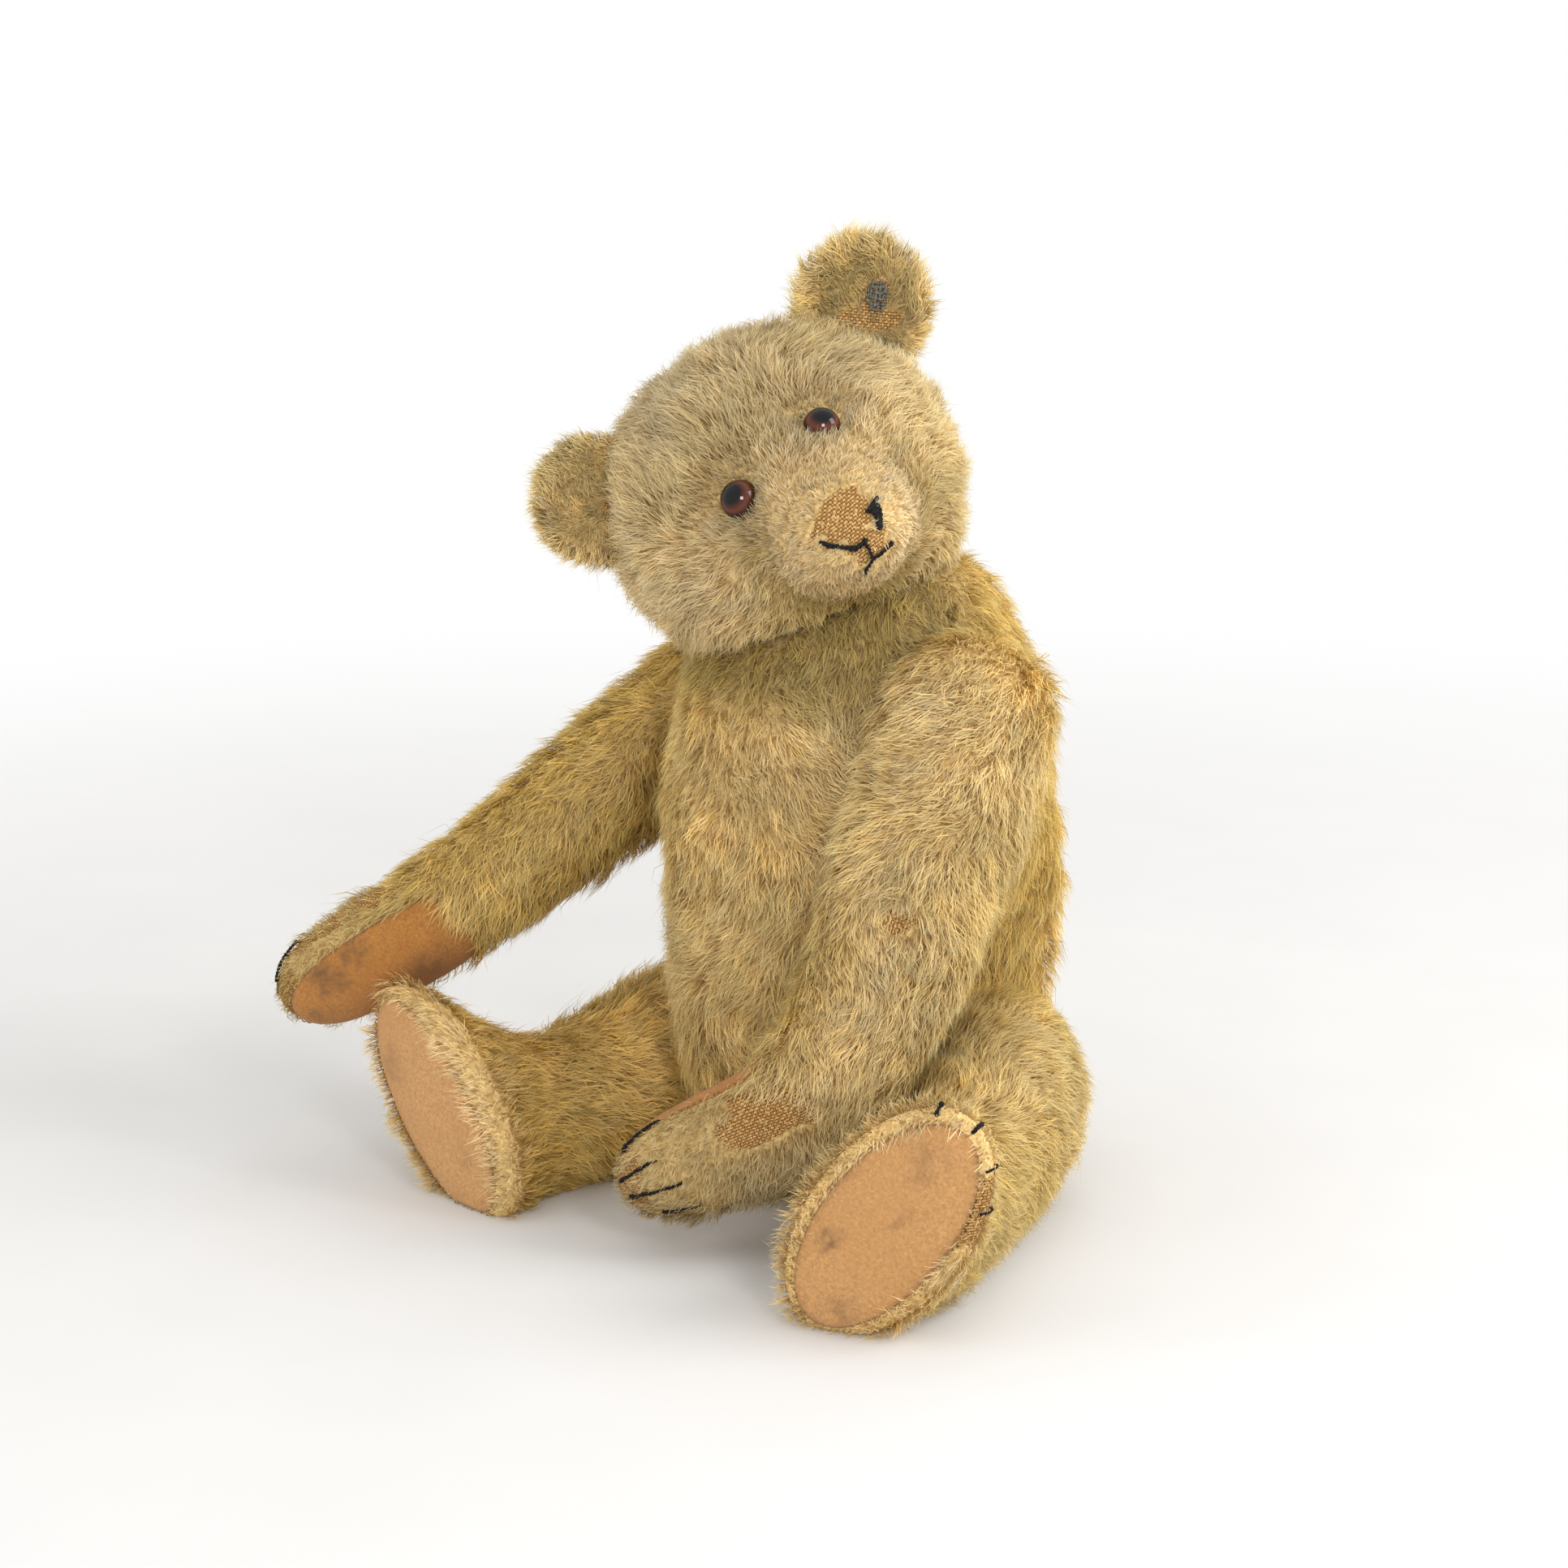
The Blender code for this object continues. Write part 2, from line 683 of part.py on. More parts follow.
def build_eye(name, spot, tree, frame, lean, empty, skin, stuffing):
    """A glass ball on a wire that is drawn into the head."""
    start = lean @ (Vector(spot) * MM + Vector((0.2, 0, 0)))
    place, normal, _, _ = tree.ray_cast(start, lean.to_3x3() @ Vector((-1, 0, 0)))
    inward = -normal
    ball_at = place + inward * EYE_SUNK
    bm = bmesh.new()
    bmesh.ops.create_uvsphere(bm, u_segments=14, v_segments=9, radius=EYE_RADIUS)
    mesh = bpy.data.meshes.new(name)
    bm.to_mesh(mesh)
    bm.free()
    eye = add_object(name, mesh, empty, look=GLASS)
    eye.location = ball_at
    eye.rotation_euler = inward.to_track_quat("Z", "Y").to_euler()
    spot = frame @ Matrix.Translation(ball_at) @ inward.to_track_quat("Z", "Y").to_matrix().to_4x4()
    wire = cylinder_cutter(name + "_wire", 0.7 * MM, EYE_RADIUS * 0.6, 14 * MM, spot, 8)
    cut(eye, wire, "UNION")
    bm = bmesh.new()
    bmesh.ops.create_uvsphere(bm, u_segments=14, v_segments=9, radius=EYE_RADIUS + GAP)
    mesh = bpy.data.meshes.new(name + "_socket")
    bm.to_mesh(mesh)
    bm.free()
    socket = as_cutter(add_object(name + "_socket", mesh))
    socket.matrix_world = spot
    cut(skin, socket)
    cut(stuffing, socket)
    bore = cylinder_cutter(name + "_bore", 1.0 * MM, EYE_RADIUS * 0.6, 14.4 * MM, spot, 8)
    cut(stuffing, bore)


def build_ear(name, side, form, lean, empty, frame):
    """Half a round of plush, cupped forward, sewn on over the side seam of the head."""
    side_name = "left" if side > 0 else "right"
    size = EAR_SIZE[side_name]
    rings = []
    for height, wide, thick, bend in EAR_RINGS:
        middle = Vector((bend, 0, height * size))
        rings.append((middle, Vector((0, wide * size, 0)), Vector((thick / 2, 0, 0))))
    low, high = (Vector((bend, 0, height * size)) for height, bend in EAR_ENDS)
    mesh = smooth_form(name, cage(name + "_cage", rings, low, high))
    for vertex in mesh.vertices:
        vertex.co.x += 0.012 / MM * vertex.co.y**2  # cupped
    ear = add_object(name, mesh, empty, look=MOHAIR)
    place = Matrix.Translation(Vector(EARS[side_name]) * MM)
    ear.matrix_basis = lean @ place @ Matrix.Rotation(-EAR_LEAN * side, 4, "X")
    grown = inset(form, name + "_seat", -GAP)
    seat = as_cutter(add_object(name + "_seat", grown))
    seat.matrix_world = frame
    cut(ear, seat)


def build_head(frame, empty):
    lean = head_frame(frame)
    form = head_form(lean, frame)
    tree = surface_of(form)
    skin = shell("head_skin", form, empty)
    cut(skin, pin_hole("neck_limb", frame))
    stuffing = stuffing_of(form, "head_stuffing", empty)
    cut(stuffing, joint_pocket("neck", frame, 1))
    for side_name, side in (("left", 1), ("right", -1)):
        build_eye("eye_" + side_name, EYES[side_name], tree, frame, lean, empty, skin, stuffing)
        build_ear("ear_" + side_name, side, form, lean, empty, frame)
    sew_face(tree, lean, empty)


# ---------------------------------------------------------------- stitches
def stitch(name, tree, starts, aims, parent):
    """A thread laid on a skin, below points held over it."""
    points = []
    for start, aim in zip(starts, aims):
        place, normal, _, _ = tree.ray_cast(start, aim)
        points.append(place + normal * (THREAD_RADIUS + THREAD_LIFT))
    return drawn(name, points, THREAD_RADIUS, parent, THREAD)


def sew_face(tree, lean, empty):
    aim = lean.to_3x3() @ Vector((-1, 0, 0))

    def over(line):
        return [lean @ (Vector((150, left, up)) * MM) for left, up in line]

    for name, line in NOSE_THREADS.items():
        stitch(name, tree, over(line), [aim] * len(line), empty)
    mouth = stitch("mouth_thread", tree, over(MOUTH_LINE), [aim] * len(MOUTH_LINE), empty)
    lip = stitch("lip_line", tree, over(LIP_LINE), [aim] * len(LIP_LINE), empty)
    cut(mouth, as_cutter(lip), "UNION")


def sew_paw_claws(side_name, side, form, empty):
    tree = surface_of(form)
    for number, (tip, root, angle) in enumerate(PAW_CLAWS[side_name], 1):
        starts = []
        aims = []
        for k in range(4):
            middle, direction, across = arm_path(side, tip + (root - tip) * k / 3)
            round_arm = across * cos(radians(angle)) + across.cross(direction) * sin(radians(angle))
            aim = -(3 * round_arm + direction).normalized()
            starts.append(limb_point(side, *(middle - 40 * aim)) * MM)
            aims.append(limb_point(side, *aim))
        stitch(f"arm_{side_name}_claw_{number}", tree, starts, aims, empty)


def sew_foot_claws(side_name, side, form, empty):
    tree = surface_of(form)
    twist = radians(LEG_RINGS[-1][4])
    for number, angle in enumerate(FOOT_CLAWS, 1):
        toward = radians(angle)
        rise = cos(toward) * cos(twist) - 0.5 * sin(toward) * sin(twist)
        out = cos(toward) * sin(twist) + 0.5 * sin(toward) * cos(twist)
        from_middle = limb_point(side, 0, rise, out).normalized()
        starts = []
        for k in range(5):
            along = FOOT_CLAW_SPAN[0] + (FOOT_CLAW_SPAN[1] - FOOT_CLAW_SPAN[0]) * k / 4
            middle = limb_point(side, along, 3, LEG_OFFSET + along * tan(LEG_SPLAY))
            starts.append((middle + 80 * from_middle) * MM)
        stitch(f"leg_{side_name}_claw_{number}", tree, starts, [-from_middle] * 5, empty)


# ---------------------------------------------------------------- the bear
def build_bear():
    frames = {joint: joint_frame(joint) for joint in JOINTS}
    empties = {joint: joint_empty(joint) for joint in JOINTS}
    build_torso(frames)
    for side_name, side in (("left", 1), ("right", -1)):
        hip = "hip_" + side_name
        shoulder = "shoulder_" + side_name
        build_leg(side_name, side, frames[hip], empties[hip])
        build_arm(side_name, side, frames[shoulder], empties[shoulder])
    build_head(frames["neck"], empties["neck"])
    for joint in JOINTS:
        joint_pieces(joint, empties[joint], empties[joint])


build_bear()
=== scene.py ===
"""Looks of a threadbare jointed teddy bear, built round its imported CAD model.

Each sewn skin is a fine closed form that stands for the CAD skin, and the mohair
pile on it is made of flat fibres in mesh, in locks that follow the lie of the
cloth.  Worn places show the woven backing.  Lengths in the code are millimetres
until a mesh is made; the bear faces -Y and its left is +X.
"""

import itertools
import json
from math import ceil, cos, floor, hypot, pi, radians, sin, sqrt, tan

import bmesh
import bpy
import numpy as np
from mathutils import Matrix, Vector
from mathutils.bvhtree import BVHTree
from mathutils.kdtree import KDTree


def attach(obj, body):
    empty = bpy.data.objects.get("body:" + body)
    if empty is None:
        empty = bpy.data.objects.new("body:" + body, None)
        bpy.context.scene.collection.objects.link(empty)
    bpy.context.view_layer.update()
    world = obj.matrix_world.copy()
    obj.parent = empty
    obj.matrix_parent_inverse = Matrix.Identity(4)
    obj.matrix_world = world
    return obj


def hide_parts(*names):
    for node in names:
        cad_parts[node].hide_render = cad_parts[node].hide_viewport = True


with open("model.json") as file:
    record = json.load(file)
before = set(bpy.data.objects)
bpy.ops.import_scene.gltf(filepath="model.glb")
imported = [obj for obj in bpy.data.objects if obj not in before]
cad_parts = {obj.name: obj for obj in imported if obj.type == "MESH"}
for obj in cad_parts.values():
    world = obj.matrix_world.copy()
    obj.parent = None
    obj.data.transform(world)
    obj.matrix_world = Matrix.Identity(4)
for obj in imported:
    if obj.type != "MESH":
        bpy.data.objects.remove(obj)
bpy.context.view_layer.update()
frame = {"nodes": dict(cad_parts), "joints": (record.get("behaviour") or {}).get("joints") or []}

MM = 0.001
SEED = 1907
SIDES = {"left": 1, "right": -1}

# ---- forms, as in the CAD
CAGE_SIDES = 8
CAGE_GROWTH = 1.112  # how far a cage stands outside the smooth form that it makes
SKIN_AT = 0.2  # from the plane of a joint to the cloth on each side of it
SWELL = 0.55  # how steeply plush may swell past a joint's plane beyond its reach
SEAT_RIM = 13.0  # flat round a joint's disc
SEAT_FADE = 10.0  # from the flat back to the round form
TORSO_SEAT = 15.0  # how deep below its plane a seat takes points along
LIMB_SEAT = 9.0

# joint: sense of its axis in the record, direction of the limb, radius of its discs
JOINTS = {
    "neck": (1, (0.8145, -0.539, 0.210), 15.0),
    "shoulder_left": (1, (0.0, -0.46, -0.888), 10.0),
    "shoulder_right": (-1, (-0.3245, -0.7587, -0.5639), 10.0),
    "hip_left": (1, (0.378, -0.926, 0.0), 14.0),
    "hip_right": (-1, (-0.044, -0.999, 0.0), 14.0),
}
PRESS_REACH = {"shoulder_left": 52, "shoulder_right": 46, "hip_left": 45, "hip_right": 42}

# height, half width, half depth, shift sideways, shift back
TORSO_RINGS = (
    (4, 37, 44, 0, 5),
    (26, 48, 58, 0, 5),
    (66, 51, 62, 0, 4),
    (108, 51, 62, -2, 2),
    (144, 49, 57, -3, 1),
    (168, 42, 48, -3, 2),
    (185, 30, 33, -3, 4),
)
TORSO_ENDS = ((0, 2, -16), (-4, 4, 201))

HEAD_UP = (-0.461, -0.386, 0.7985)
HEAD_FORWARD = (0.8145, -0.539, 0.210)
HEAD_SHIFT = (-2.0, -2.0, 0.0)
HEAD_CLEARANCE = 29.0  # round the axis of the right shoulder, where the cheek is dented
# forward, half width, half height, height of the middle
HEAD_RINGS = (
    (-41, 31, 29, 38),
    (-22, 46, 44, 38),
    (0, 51, 47, 37),
    (18, 48, 44, 35),
    (33, 39, 35, 30),
    (46, 27, 24, 25),
    (58, 19, 17, 22),
    (67, 14, 12, 21),
)
HEAD_ENDS = ((-50, 0, 38), (71, 0, 21))
NOSE_AT = (70, -1.5, 19)
MUZZLE_HOLLOW = 3.2  # depth of the hollow round the foot of the muzzle

# distance along, half thickness, half width
ARM_RINGS = (
    (-17, 12, 18),
    (0, 17, 25),
    (28, 17, 24.5),
    (58, 16, 23),
    (90, 14.5, 20.5),
    (120, 13.5, 18.5),
    (146, 13.5, 17.5),
    (174, 11, 15),
)
ARM_START = -25
ARM_END = 190
ARM_FLAT_TO = 55  # no part of an arm up to here passes the plane of its joint
ARM_OFFSET = 14.0
BEND_START = 94
BEND_END = 138
FOREARM_BEND = {"left": (38.0, 44.0), "right": (2.0, -19.0)}
ARM_ROUND = 16  # millimetres of an arm's cloth to a radian round it
ARM_NARROWING = {"left": 0.0, "right": 0.2}
NARROW_TO = 100
FULL_FROM = 150

# distance along, half thickness, half height, rise, twist outward
LEG_RINGS = (
    (-31, 15, 21, 1, 0),
    (-12, 23, 31, 1, 0),
    (20, 23.5, 31, 0, 4),
    (54, 20, 24.5, -5, 14),
    (80, 18, 20.5, -9, 26),
    (98, 19, 29, -3, 34),
    (109, 22.5, 41, 3, 37),
    (116, 22, 41.5, 3, 38),
)
LEG_START = -42
LEG_END = 118
LEG_OFFSET = 20.0
LEG_SPLAY = radians(6)
SOLE_RISE = 3
FOOT_TWIST = radians(LEG_RINGS[-1][4])

EARS = {"left": (-4, 55.3, 68.4), "right": (-4, -45.4, 69.5)}
EAR_SIZE = {"left": 0.93, "right": 0.86}
EAR_LEAN = radians(42)
EAR_CUP = 0.012  # how far an ear bends forward, by the square of the distance from its middle
# height, half width, thickness, bend
EAR_RINGS = ((-16, 17, 7, 0), (-4, 20, 8, 0), (8, 18, 7, 1.5), (15, 11, 5, 3))
EAR_ENDS = ((-19, 0), (18, 4))

FOOT_PAD = (37.5, 18.0)
PAW_PAD = (33.0, 24.0)
PAW_PAD_AT = 152
PAW_PAD_FROM = 5.0  # height on the paw where its pad begins
PAW_PAD_FADE = 12
FOOT_PAD_DEPTH = 9  # below the sole's plane, where the pad may still be
PALM_TURN = {"left": -27.0, "right": 18.0}

# lines on the face: to its left, and up
NOSE_LEFT = ((6.5, 22.5), (6.2, 19.8), (4.4, 16.7))
NOSE_LEFT_ACROSS = ((4.6, 22.2), (6.8, 23.0), (9.2, 23.3))
NOSE_RIGHT = (
    (-10.9, 23.1),
    (-9.5, 20.8),
    (-7.4, 19.6),
    (-6.0, 17.4),
    (-3.8, 16.0),
    (-1.0, 16.2),
)
MOUTH_LINE = ((-6.0, 8.8), (-4.0, 10.2), (-2.0, 11.2), (1.1, 10.8), (5.2, 11.4))
LIP_LINE = ((-1.4, 14.6), (-2.0, 11.2))
# claws of a paw: from and to along the arm, and the angle round it from its outer side upward
PAW_CLAWS = {
    "left": ((173, 158, 84), (178, 163, 42), (177, 159, 1), (169, 157, -41)),
    "right": ((179, 164, 84), (182, 168, 60), (182, 168, 34), (180, 166, 8)),
}
# claws of the left foot: angle from the toe, outward round the edge of the sole
FOOT_CLAWS = (-27, 4, 33, 56)
FOOT_CLAW_FROM = 114
FOOT_CLAW_LENGTH = 4.5


# ---- small mathematics
def unit(vectors):
    vectors = np.asarray(vectors, float)
    return vectors / np.maximum(np.linalg.norm(vectors, axis=-1, keepdims=True), 1e-9)


def norm(vectors):
    return np.linalg.norm(vectors, axis=-1)


def smooth(value, low, high):
    """0 below low, 1 above high, and a soft step between them."""
    share = np.clip((value - low) / (high - low), 0, 1)
    return share * share * (3 - 2 * share)


def mix(a, b, share):
    return a + (b - a) * share


def ripple(points, size, seed, waves=10):
    """Soft irregular field between about -1 and 1, with features of the given size."""
    rng = np.random.default_rng(seed)
    directions = unit(rng.normal(size=(waves, 3))) * rng.uniform(0.6, 1.5, (waves, 1))
    phases = rng.uniform(0, 2 * np.pi, waves)
    return np.sin(points @ directions.T * (np.pi / size) + phases).sum(1) / np.sqrt(waves)


def run_lengths(points):
    """Distance along a line of points to each of them."""
    steps = norm(np.diff(points, axis=0))
    return np.concatenate(((0,), np.cumsum(steps)))


def turned_about(vectors, axes, angles):
    """Vectors at right angles to their axes, turned about them."""
    cosine = np.cos(angles)[:, None]
    return vectors * cosine + np.cross(axes, vectors) * np.sin(angles)[:, None]


def place(matrix, points):
    return np.asarray(points, float) @ matrix[:3, :3].T + matrix[:3, 3]


def local(matrix, points):
    return (np.asarray(points, float) - matrix[:3, 3]) @ np.linalg.inv(matrix[:3, :3]).T


def frame_of(x, z, at):
    """A frame at a place, from its Z and the direction nearest to its X."""
    z = unit(z)
    x = unit(np.asarray(x, float) - np.dot(x, z) * z)
    matrix = np.eye(4)
    matrix[:3, :3] = np.column_stack((x, np.cross(z, x), z))
    matrix[:3, 3] = at
    return matrix


def joint_frame(name):
    """Local X runs along the limb and local Z outward along the joint's axis."""
    joint = next(j for j in frame["joints"] if j["name"] == name + "_turn")
    sense, direction, _ = JOINTS[name]
    return frame_of(direction, sense * np.array(joint["axis"]), np.array(joint["pos_m"]) / MM)


FRAMES = {name: joint_frame(name) for name in JOINTS}
HEAD = frame_of(HEAD_FORWARD, HEAD_UP, FRAMES["neck"][:3, 3] + np.array(HEAD_SHIFT))


def link_object(name, data):
    obj = bpy.data.objects.new(name, data)
    bpy.context.scene.collection.objects.link(obj)
    return obj


# ---- forms
# how far out the rays that look for a form's surface start
FROM_SOLE, FROM_PAW, FROM_TOE, FROM_FACE, FROM_EAR = 30, 40, 80, 150, 60


class Form:
    """A closed surface in the bear's frame, in millimetres."""

    def __init__(self, points, quads):
        self.points = points
        self.quads = quads

    def settle(self):
        corners = self.points[self.quads]
        face = np.cross(corners[:, 2] - corners[:, 0], corners[:, 3] - corners[:, 1])
        normals = np.zeros_like(self.points)
        for k in range(4):
            np.add.at(normals, self.quads[:, k], face)
        self.normals = unit(normals)
        self.triangles = np.concatenate((self.quads[:, (0, 1, 2)], self.quads[:, (0, 2, 3)]))
        self.tree = BVHTree.FromPolygons(self.points.tolist(), self.quads.tolist())
        return self

    def scatter(self, count, rng):
        """Places on the surface and the smooth normals there."""
        a, b, c = (self.points[self.triangles[:, k]] for k in range(3))
        area = norm(np.cross(b - a, c - a))
        chosen = rng.choice(len(area), count, p=area / area.sum())
        u, v = rng.random((2, count, 1))
        flip = u + v > 1
        u, v = np.where(flip, 1 - u, u), np.where(flip, 1 - v, v)
        corners = self.triangles[chosen]
        spots = a[chosen] * (1 - u - v) + b[chosen] * u + c[chosen] * v
        normals = [self.normals[corners[:, k]] for k in range(3)]
        return spots, unit(normals[0] * (1 - u - v) + normals[1] * u + normals[2] * v)

    def cast(self, start, aim):
        """Where a ray meets the surface, and the normal there, or nothing but NaN."""
        spot, normal, _, _ = self.tree.ray_cast(Vector(start), Vector(aim))
        if spot is None:
            return np.full(3, np.nan), np.full(3, np.nan)
        return np.array(spot), np.array(normal)


def soft_form(rings, start, end):
    """The smooth closed form of a cage through rings of (middle, half axis, half axis)."""
    bm = bmesh.new()
    loops = []
    for middle, half_a, half_b in rings:
        loop = []
        for k in range(CAGE_SIDES):
            angle = 2 * pi * (k + 0.5) / CAGE_SIDES
            spoke = np.array(half_a) * cos(angle) + np.array(half_b) * sin(angle)
            loop.append(bm.verts.new(tuple(np.array(middle) + CAGE_GROWTH * spoke)))
        loops.append(loop)
    for lower, upper in zip(loops, loops[1:]):
        for k in range(CAGE_SIDES):
            n = (k + 1) % CAGE_SIDES
            bm.faces.new((lower[k], lower[n], upper[n], upper[k]))
    for pole, loop in ((start, loops[0]), (end, loops[-1])):
        tip = bm.verts.new(tuple(pole))
        for k in range(CAGE_SIDES):
            bm.faces.new((loop[k], loop[(k + 1) % CAGE_SIDES], tip))
    bmesh.ops.recalc_face_normals(bm, faces=bm.faces)
    mesh = bpy.data.meshes.new("cage")
    bm.to_mesh(mesh)
    bm.free()
    obj = link_object("cage", mesh)
    soft = obj.modifiers.new("soft", "SUBSURF")
    soft.levels = 3
    made = obj.evaluated_get(bpy.context.evaluated_depsgraph_get()).to_mesh()
    points = np.zeros(len(made.vertices) * 3)
    made.vertices.foreach_get("co", points)
    quads = np.zeros(len(made.loops), int)
    made.loops.foreach_get("vertex_index", quads)
    bpy.data.objects.remove(obj)
    bpy.data.meshes.remove(mesh)
    return Form(points.reshape(-1, 3), quads.reshape(-1, 4))


def joint_plane(joint, side=1):
    """Plane of the cloth at a joint and its way outward: 1 for the limb, -1 for the torso."""
    axis = side * FRAMES[joint][:3, 2]
    return FRAMES[joint][:3, 3] + SKIN_AT * axis, -axis


def past_plane(form, point, normal):
    """How far each point stands beyond a plane, and how far it is from the plane's point."""
    offset = form.points - point
    beyond = offset @ normal
    return beyond, norm(offset - beyond[:, None] * normal)


def press_flat(form, point, normal, reach=None):
    """Press what stands beyond a plane back onto it, with a swell past the reach."""
    beyond, radial = past_plane(form, point, normal)
    if reach:
        beyond = beyond - SWELL * np.maximum(0, radial - reach)
    form.points -= np.maximum(0, beyond)[:, None] * normal


def seat(form, point, normal, radius, depth):
    """Draw the skin flat onto the plane of its joint over the disc inside it."""
    beyond, radial = past_plane(form, point, normal)
    share = np.clip(1 - (radial - radius - SEAT_RIM) / SEAT_FADE, 0, 1)
    share *= smooth(beyond, -depth - 3, -depth)
    form.points -= (beyond * share)[:, None] * normal


def seat_limb(form, joint):
    seat(form, *joint_plane(joint), JOINTS[joint][2], LIMB_SEAT)


def torso_form():
    rings = [((x, y, z), (w, 0, 0), (0, d, 0)) for z, w, d, x, y in TORSO_RINGS]
    form = soft_form(rings, *TORSO_ENDS)
    form.points[:, 2] = np.maximum(form.points[:, 2], 0)
    for joint in FRAMES:
        seat(form, *joint_plane(joint, -1), JOINTS[joint][2], TORSO_SEAT)
    for joint in FRAMES:
        press_flat(form, *joint_plane(joint, -1), PRESS_REACH.get(joint))
    return form.settle()


def beside_muzzle(spots):
    """1 in the hollow round the foot of the muzzle, below the eyes, in the head's frame."""
    distance = norm(spots - NOSE_AT)
    ring = np.exp(-(((distance - 33) / 7) ** 2))
    ring = ring * (1 - smooth(spots[:, 2], 30, 42)) * smooth(spots[:, 0], 5, 22)
    return ring * (1 - 0.45 * smooth(spots[:, 1], 5, 20))


def head_form():
    rings = [((f, 0, m), (0, w, 0), (0, 0, h)) for f, w, h, m in HEAD_RINGS]
    form = soft_form(rings, *HEAD_ENDS)
    inward = unit(form.points * (0, -1, -1) + (0, 0, HEAD_RINGS[3][3]))
    form.points += inward * (MUZZLE_HOLLOW * beside_muzzle(form.points))[:, None]
    form.points = place(HEAD, form.points)
    shoulder = FRAMES["shoulder_right"]
    spot = local(shoulder, form.points)
    radial = norm(spot[:, :2])
    dent = np.maximum(0, HEAD_CLEARANCE - radial) * (spot[:, 2] > -2)
    spot[:, :2] += spot[:, :2] / radial[:, None] * dent[:, None]
    form.points = place(shoulder, spot)
    press_flat(form, *joint_plane("neck"))
    seat_limb(form, "neck")
    return form.settle()


def limb_point(side, along, rise, out):
    """A point of a limb's frame: along it, upward in its plane, and outward."""
    return np.array((along, -side * rise, out), float)


def limb_coordinates(joint, side, points):
    """The other way: distance along the limb, rise and distance outward."""
    return local(FRAMES[joint], points) * (1, -side, 1)


def leg_middle(side, along, rise):
    return limb_point(side, along, rise, LEG_OFFSET + along * tan(LEG_SPLAY))


def leg_form(joint, side):
    rings = []
    for along, thick, high, rise, twist in LEG_RINGS:
        sine, cosine = sin(radians(twist)), cos(radians(twist))
        middle = leg_middle(side, along, rise)
        across = limb_point(side, 0, -thick * sine, thick * cosine)
        upward = limb_point(side, 0, high * cosine, high * sine)
        rings.append((middle, across, upward))
    start = limb_point(side, LEG_START, 0, LEG_OFFSET)
    form = soft_form(rings, start, leg_middle(side, LEG_END, SOLE_RISE))
    form.points = place(FRAMES[joint], form.points)
    press_flat(form, *joint_plane(joint))
    seat_limb(form, joint)
    form.points[:, 2] = np.maximum(form.points[:, 2], 0)
    return form.settle()


def arm_line(name):
    """Middle, direction and thickness direction of an arm at each millimetre from its start."""
    up, inward = (radians(angle) for angle in FOREARM_BEND[name])
    rows = [((a, 0, ARM_OFFSET), (1, 0, 0), (0, 0, 1)) for a in range(ARM_START, 1)]
    middle = np.array((0, 0, ARM_OFFSET), float)
    for step in range(ARM_END + 10):
        share = float(smooth(step, BEND_START, BEND_END))
        direction = unit((1, tan(up * share), -tan(inward * share)))
        middle = middle + direction
        across = np.array((0, 0, 1.0))
        across = unit(across - across @ direction * direction)
        rows.append((middle, direction, across))
    return np.array(rows, float)


def arm_width(name, along):
    """Share of its full width that an arm has there."""
    slack = min(1.0, max(0.0, (FULL_FROM - along) / (FULL_FROM - NARROW_TO)))
    return 1 - ARM_NARROWING[name] * slack


def arm_form(name):
    joint, side, line = "shoulder_" + name, SIDES[name], LINES[name]
    rings = []
    for along, thick, wide in ARM_RINGS:
        middle, direction, across = line[along - ARM_START]
        upward = np.cross(across, direction) * wide * arm_width(name, along)
        rings.append([limb_point(side, *v) for v in (middle, across * thick, upward)])
    start = limb_point(side, ARM_START * arm_width(name, ARM_START), 0, ARM_OFFSET)
    form = soft_form(rings, start, limb_point(side, *line[ARM_END - ARM_START][0]))
    near = form.points[:, 0] < ARM_FLAT_TO
    form.points[near, 2] = np.maximum(form.points[near, 2], SKIN_AT)
    form.points = place(FRAMES[joint], form.points)
    seat_limb(form, joint)
    return form.settle()


def ear_frame(name):
    lean = -EAR_LEAN * SIDES[name]
    turn = np.eye(4)
    turn[1:3, 1:3] = ((cos(lean), -sin(lean)), (sin(lean), cos(lean)))
    turn[:3, 3] = EARS[name]
    return HEAD @ turn


def ear_form(name):
    size = EAR_SIZE[name]
    rings = [((b, 0, h * size), (0, w * size, 0), (t / 2, 0, 0)) for h, w, t, b in EAR_RINGS]
    form = soft_form(rings, *((b, 0, h * size) for h, b in EAR_ENDS))
    form.points[:, 0] += EAR_CUP * form.points[:, 1] ** 2
    form.points = place(ear_frame(name), form.points)
    return form.settle()


def all_forms():
    forms = {"torso": torso_form(), "head": head_form()}
    for name, side in SIDES.items():
        forms["arm_" + name] = arm_form(name)
        forms["leg_" + name] = leg_form("hip_" + name, side)
        forms["ear_" + name] = ear_form(name)
    return forms


LINES = {name: arm_line(name) for name in SIDES}
FORMS = all_forms()


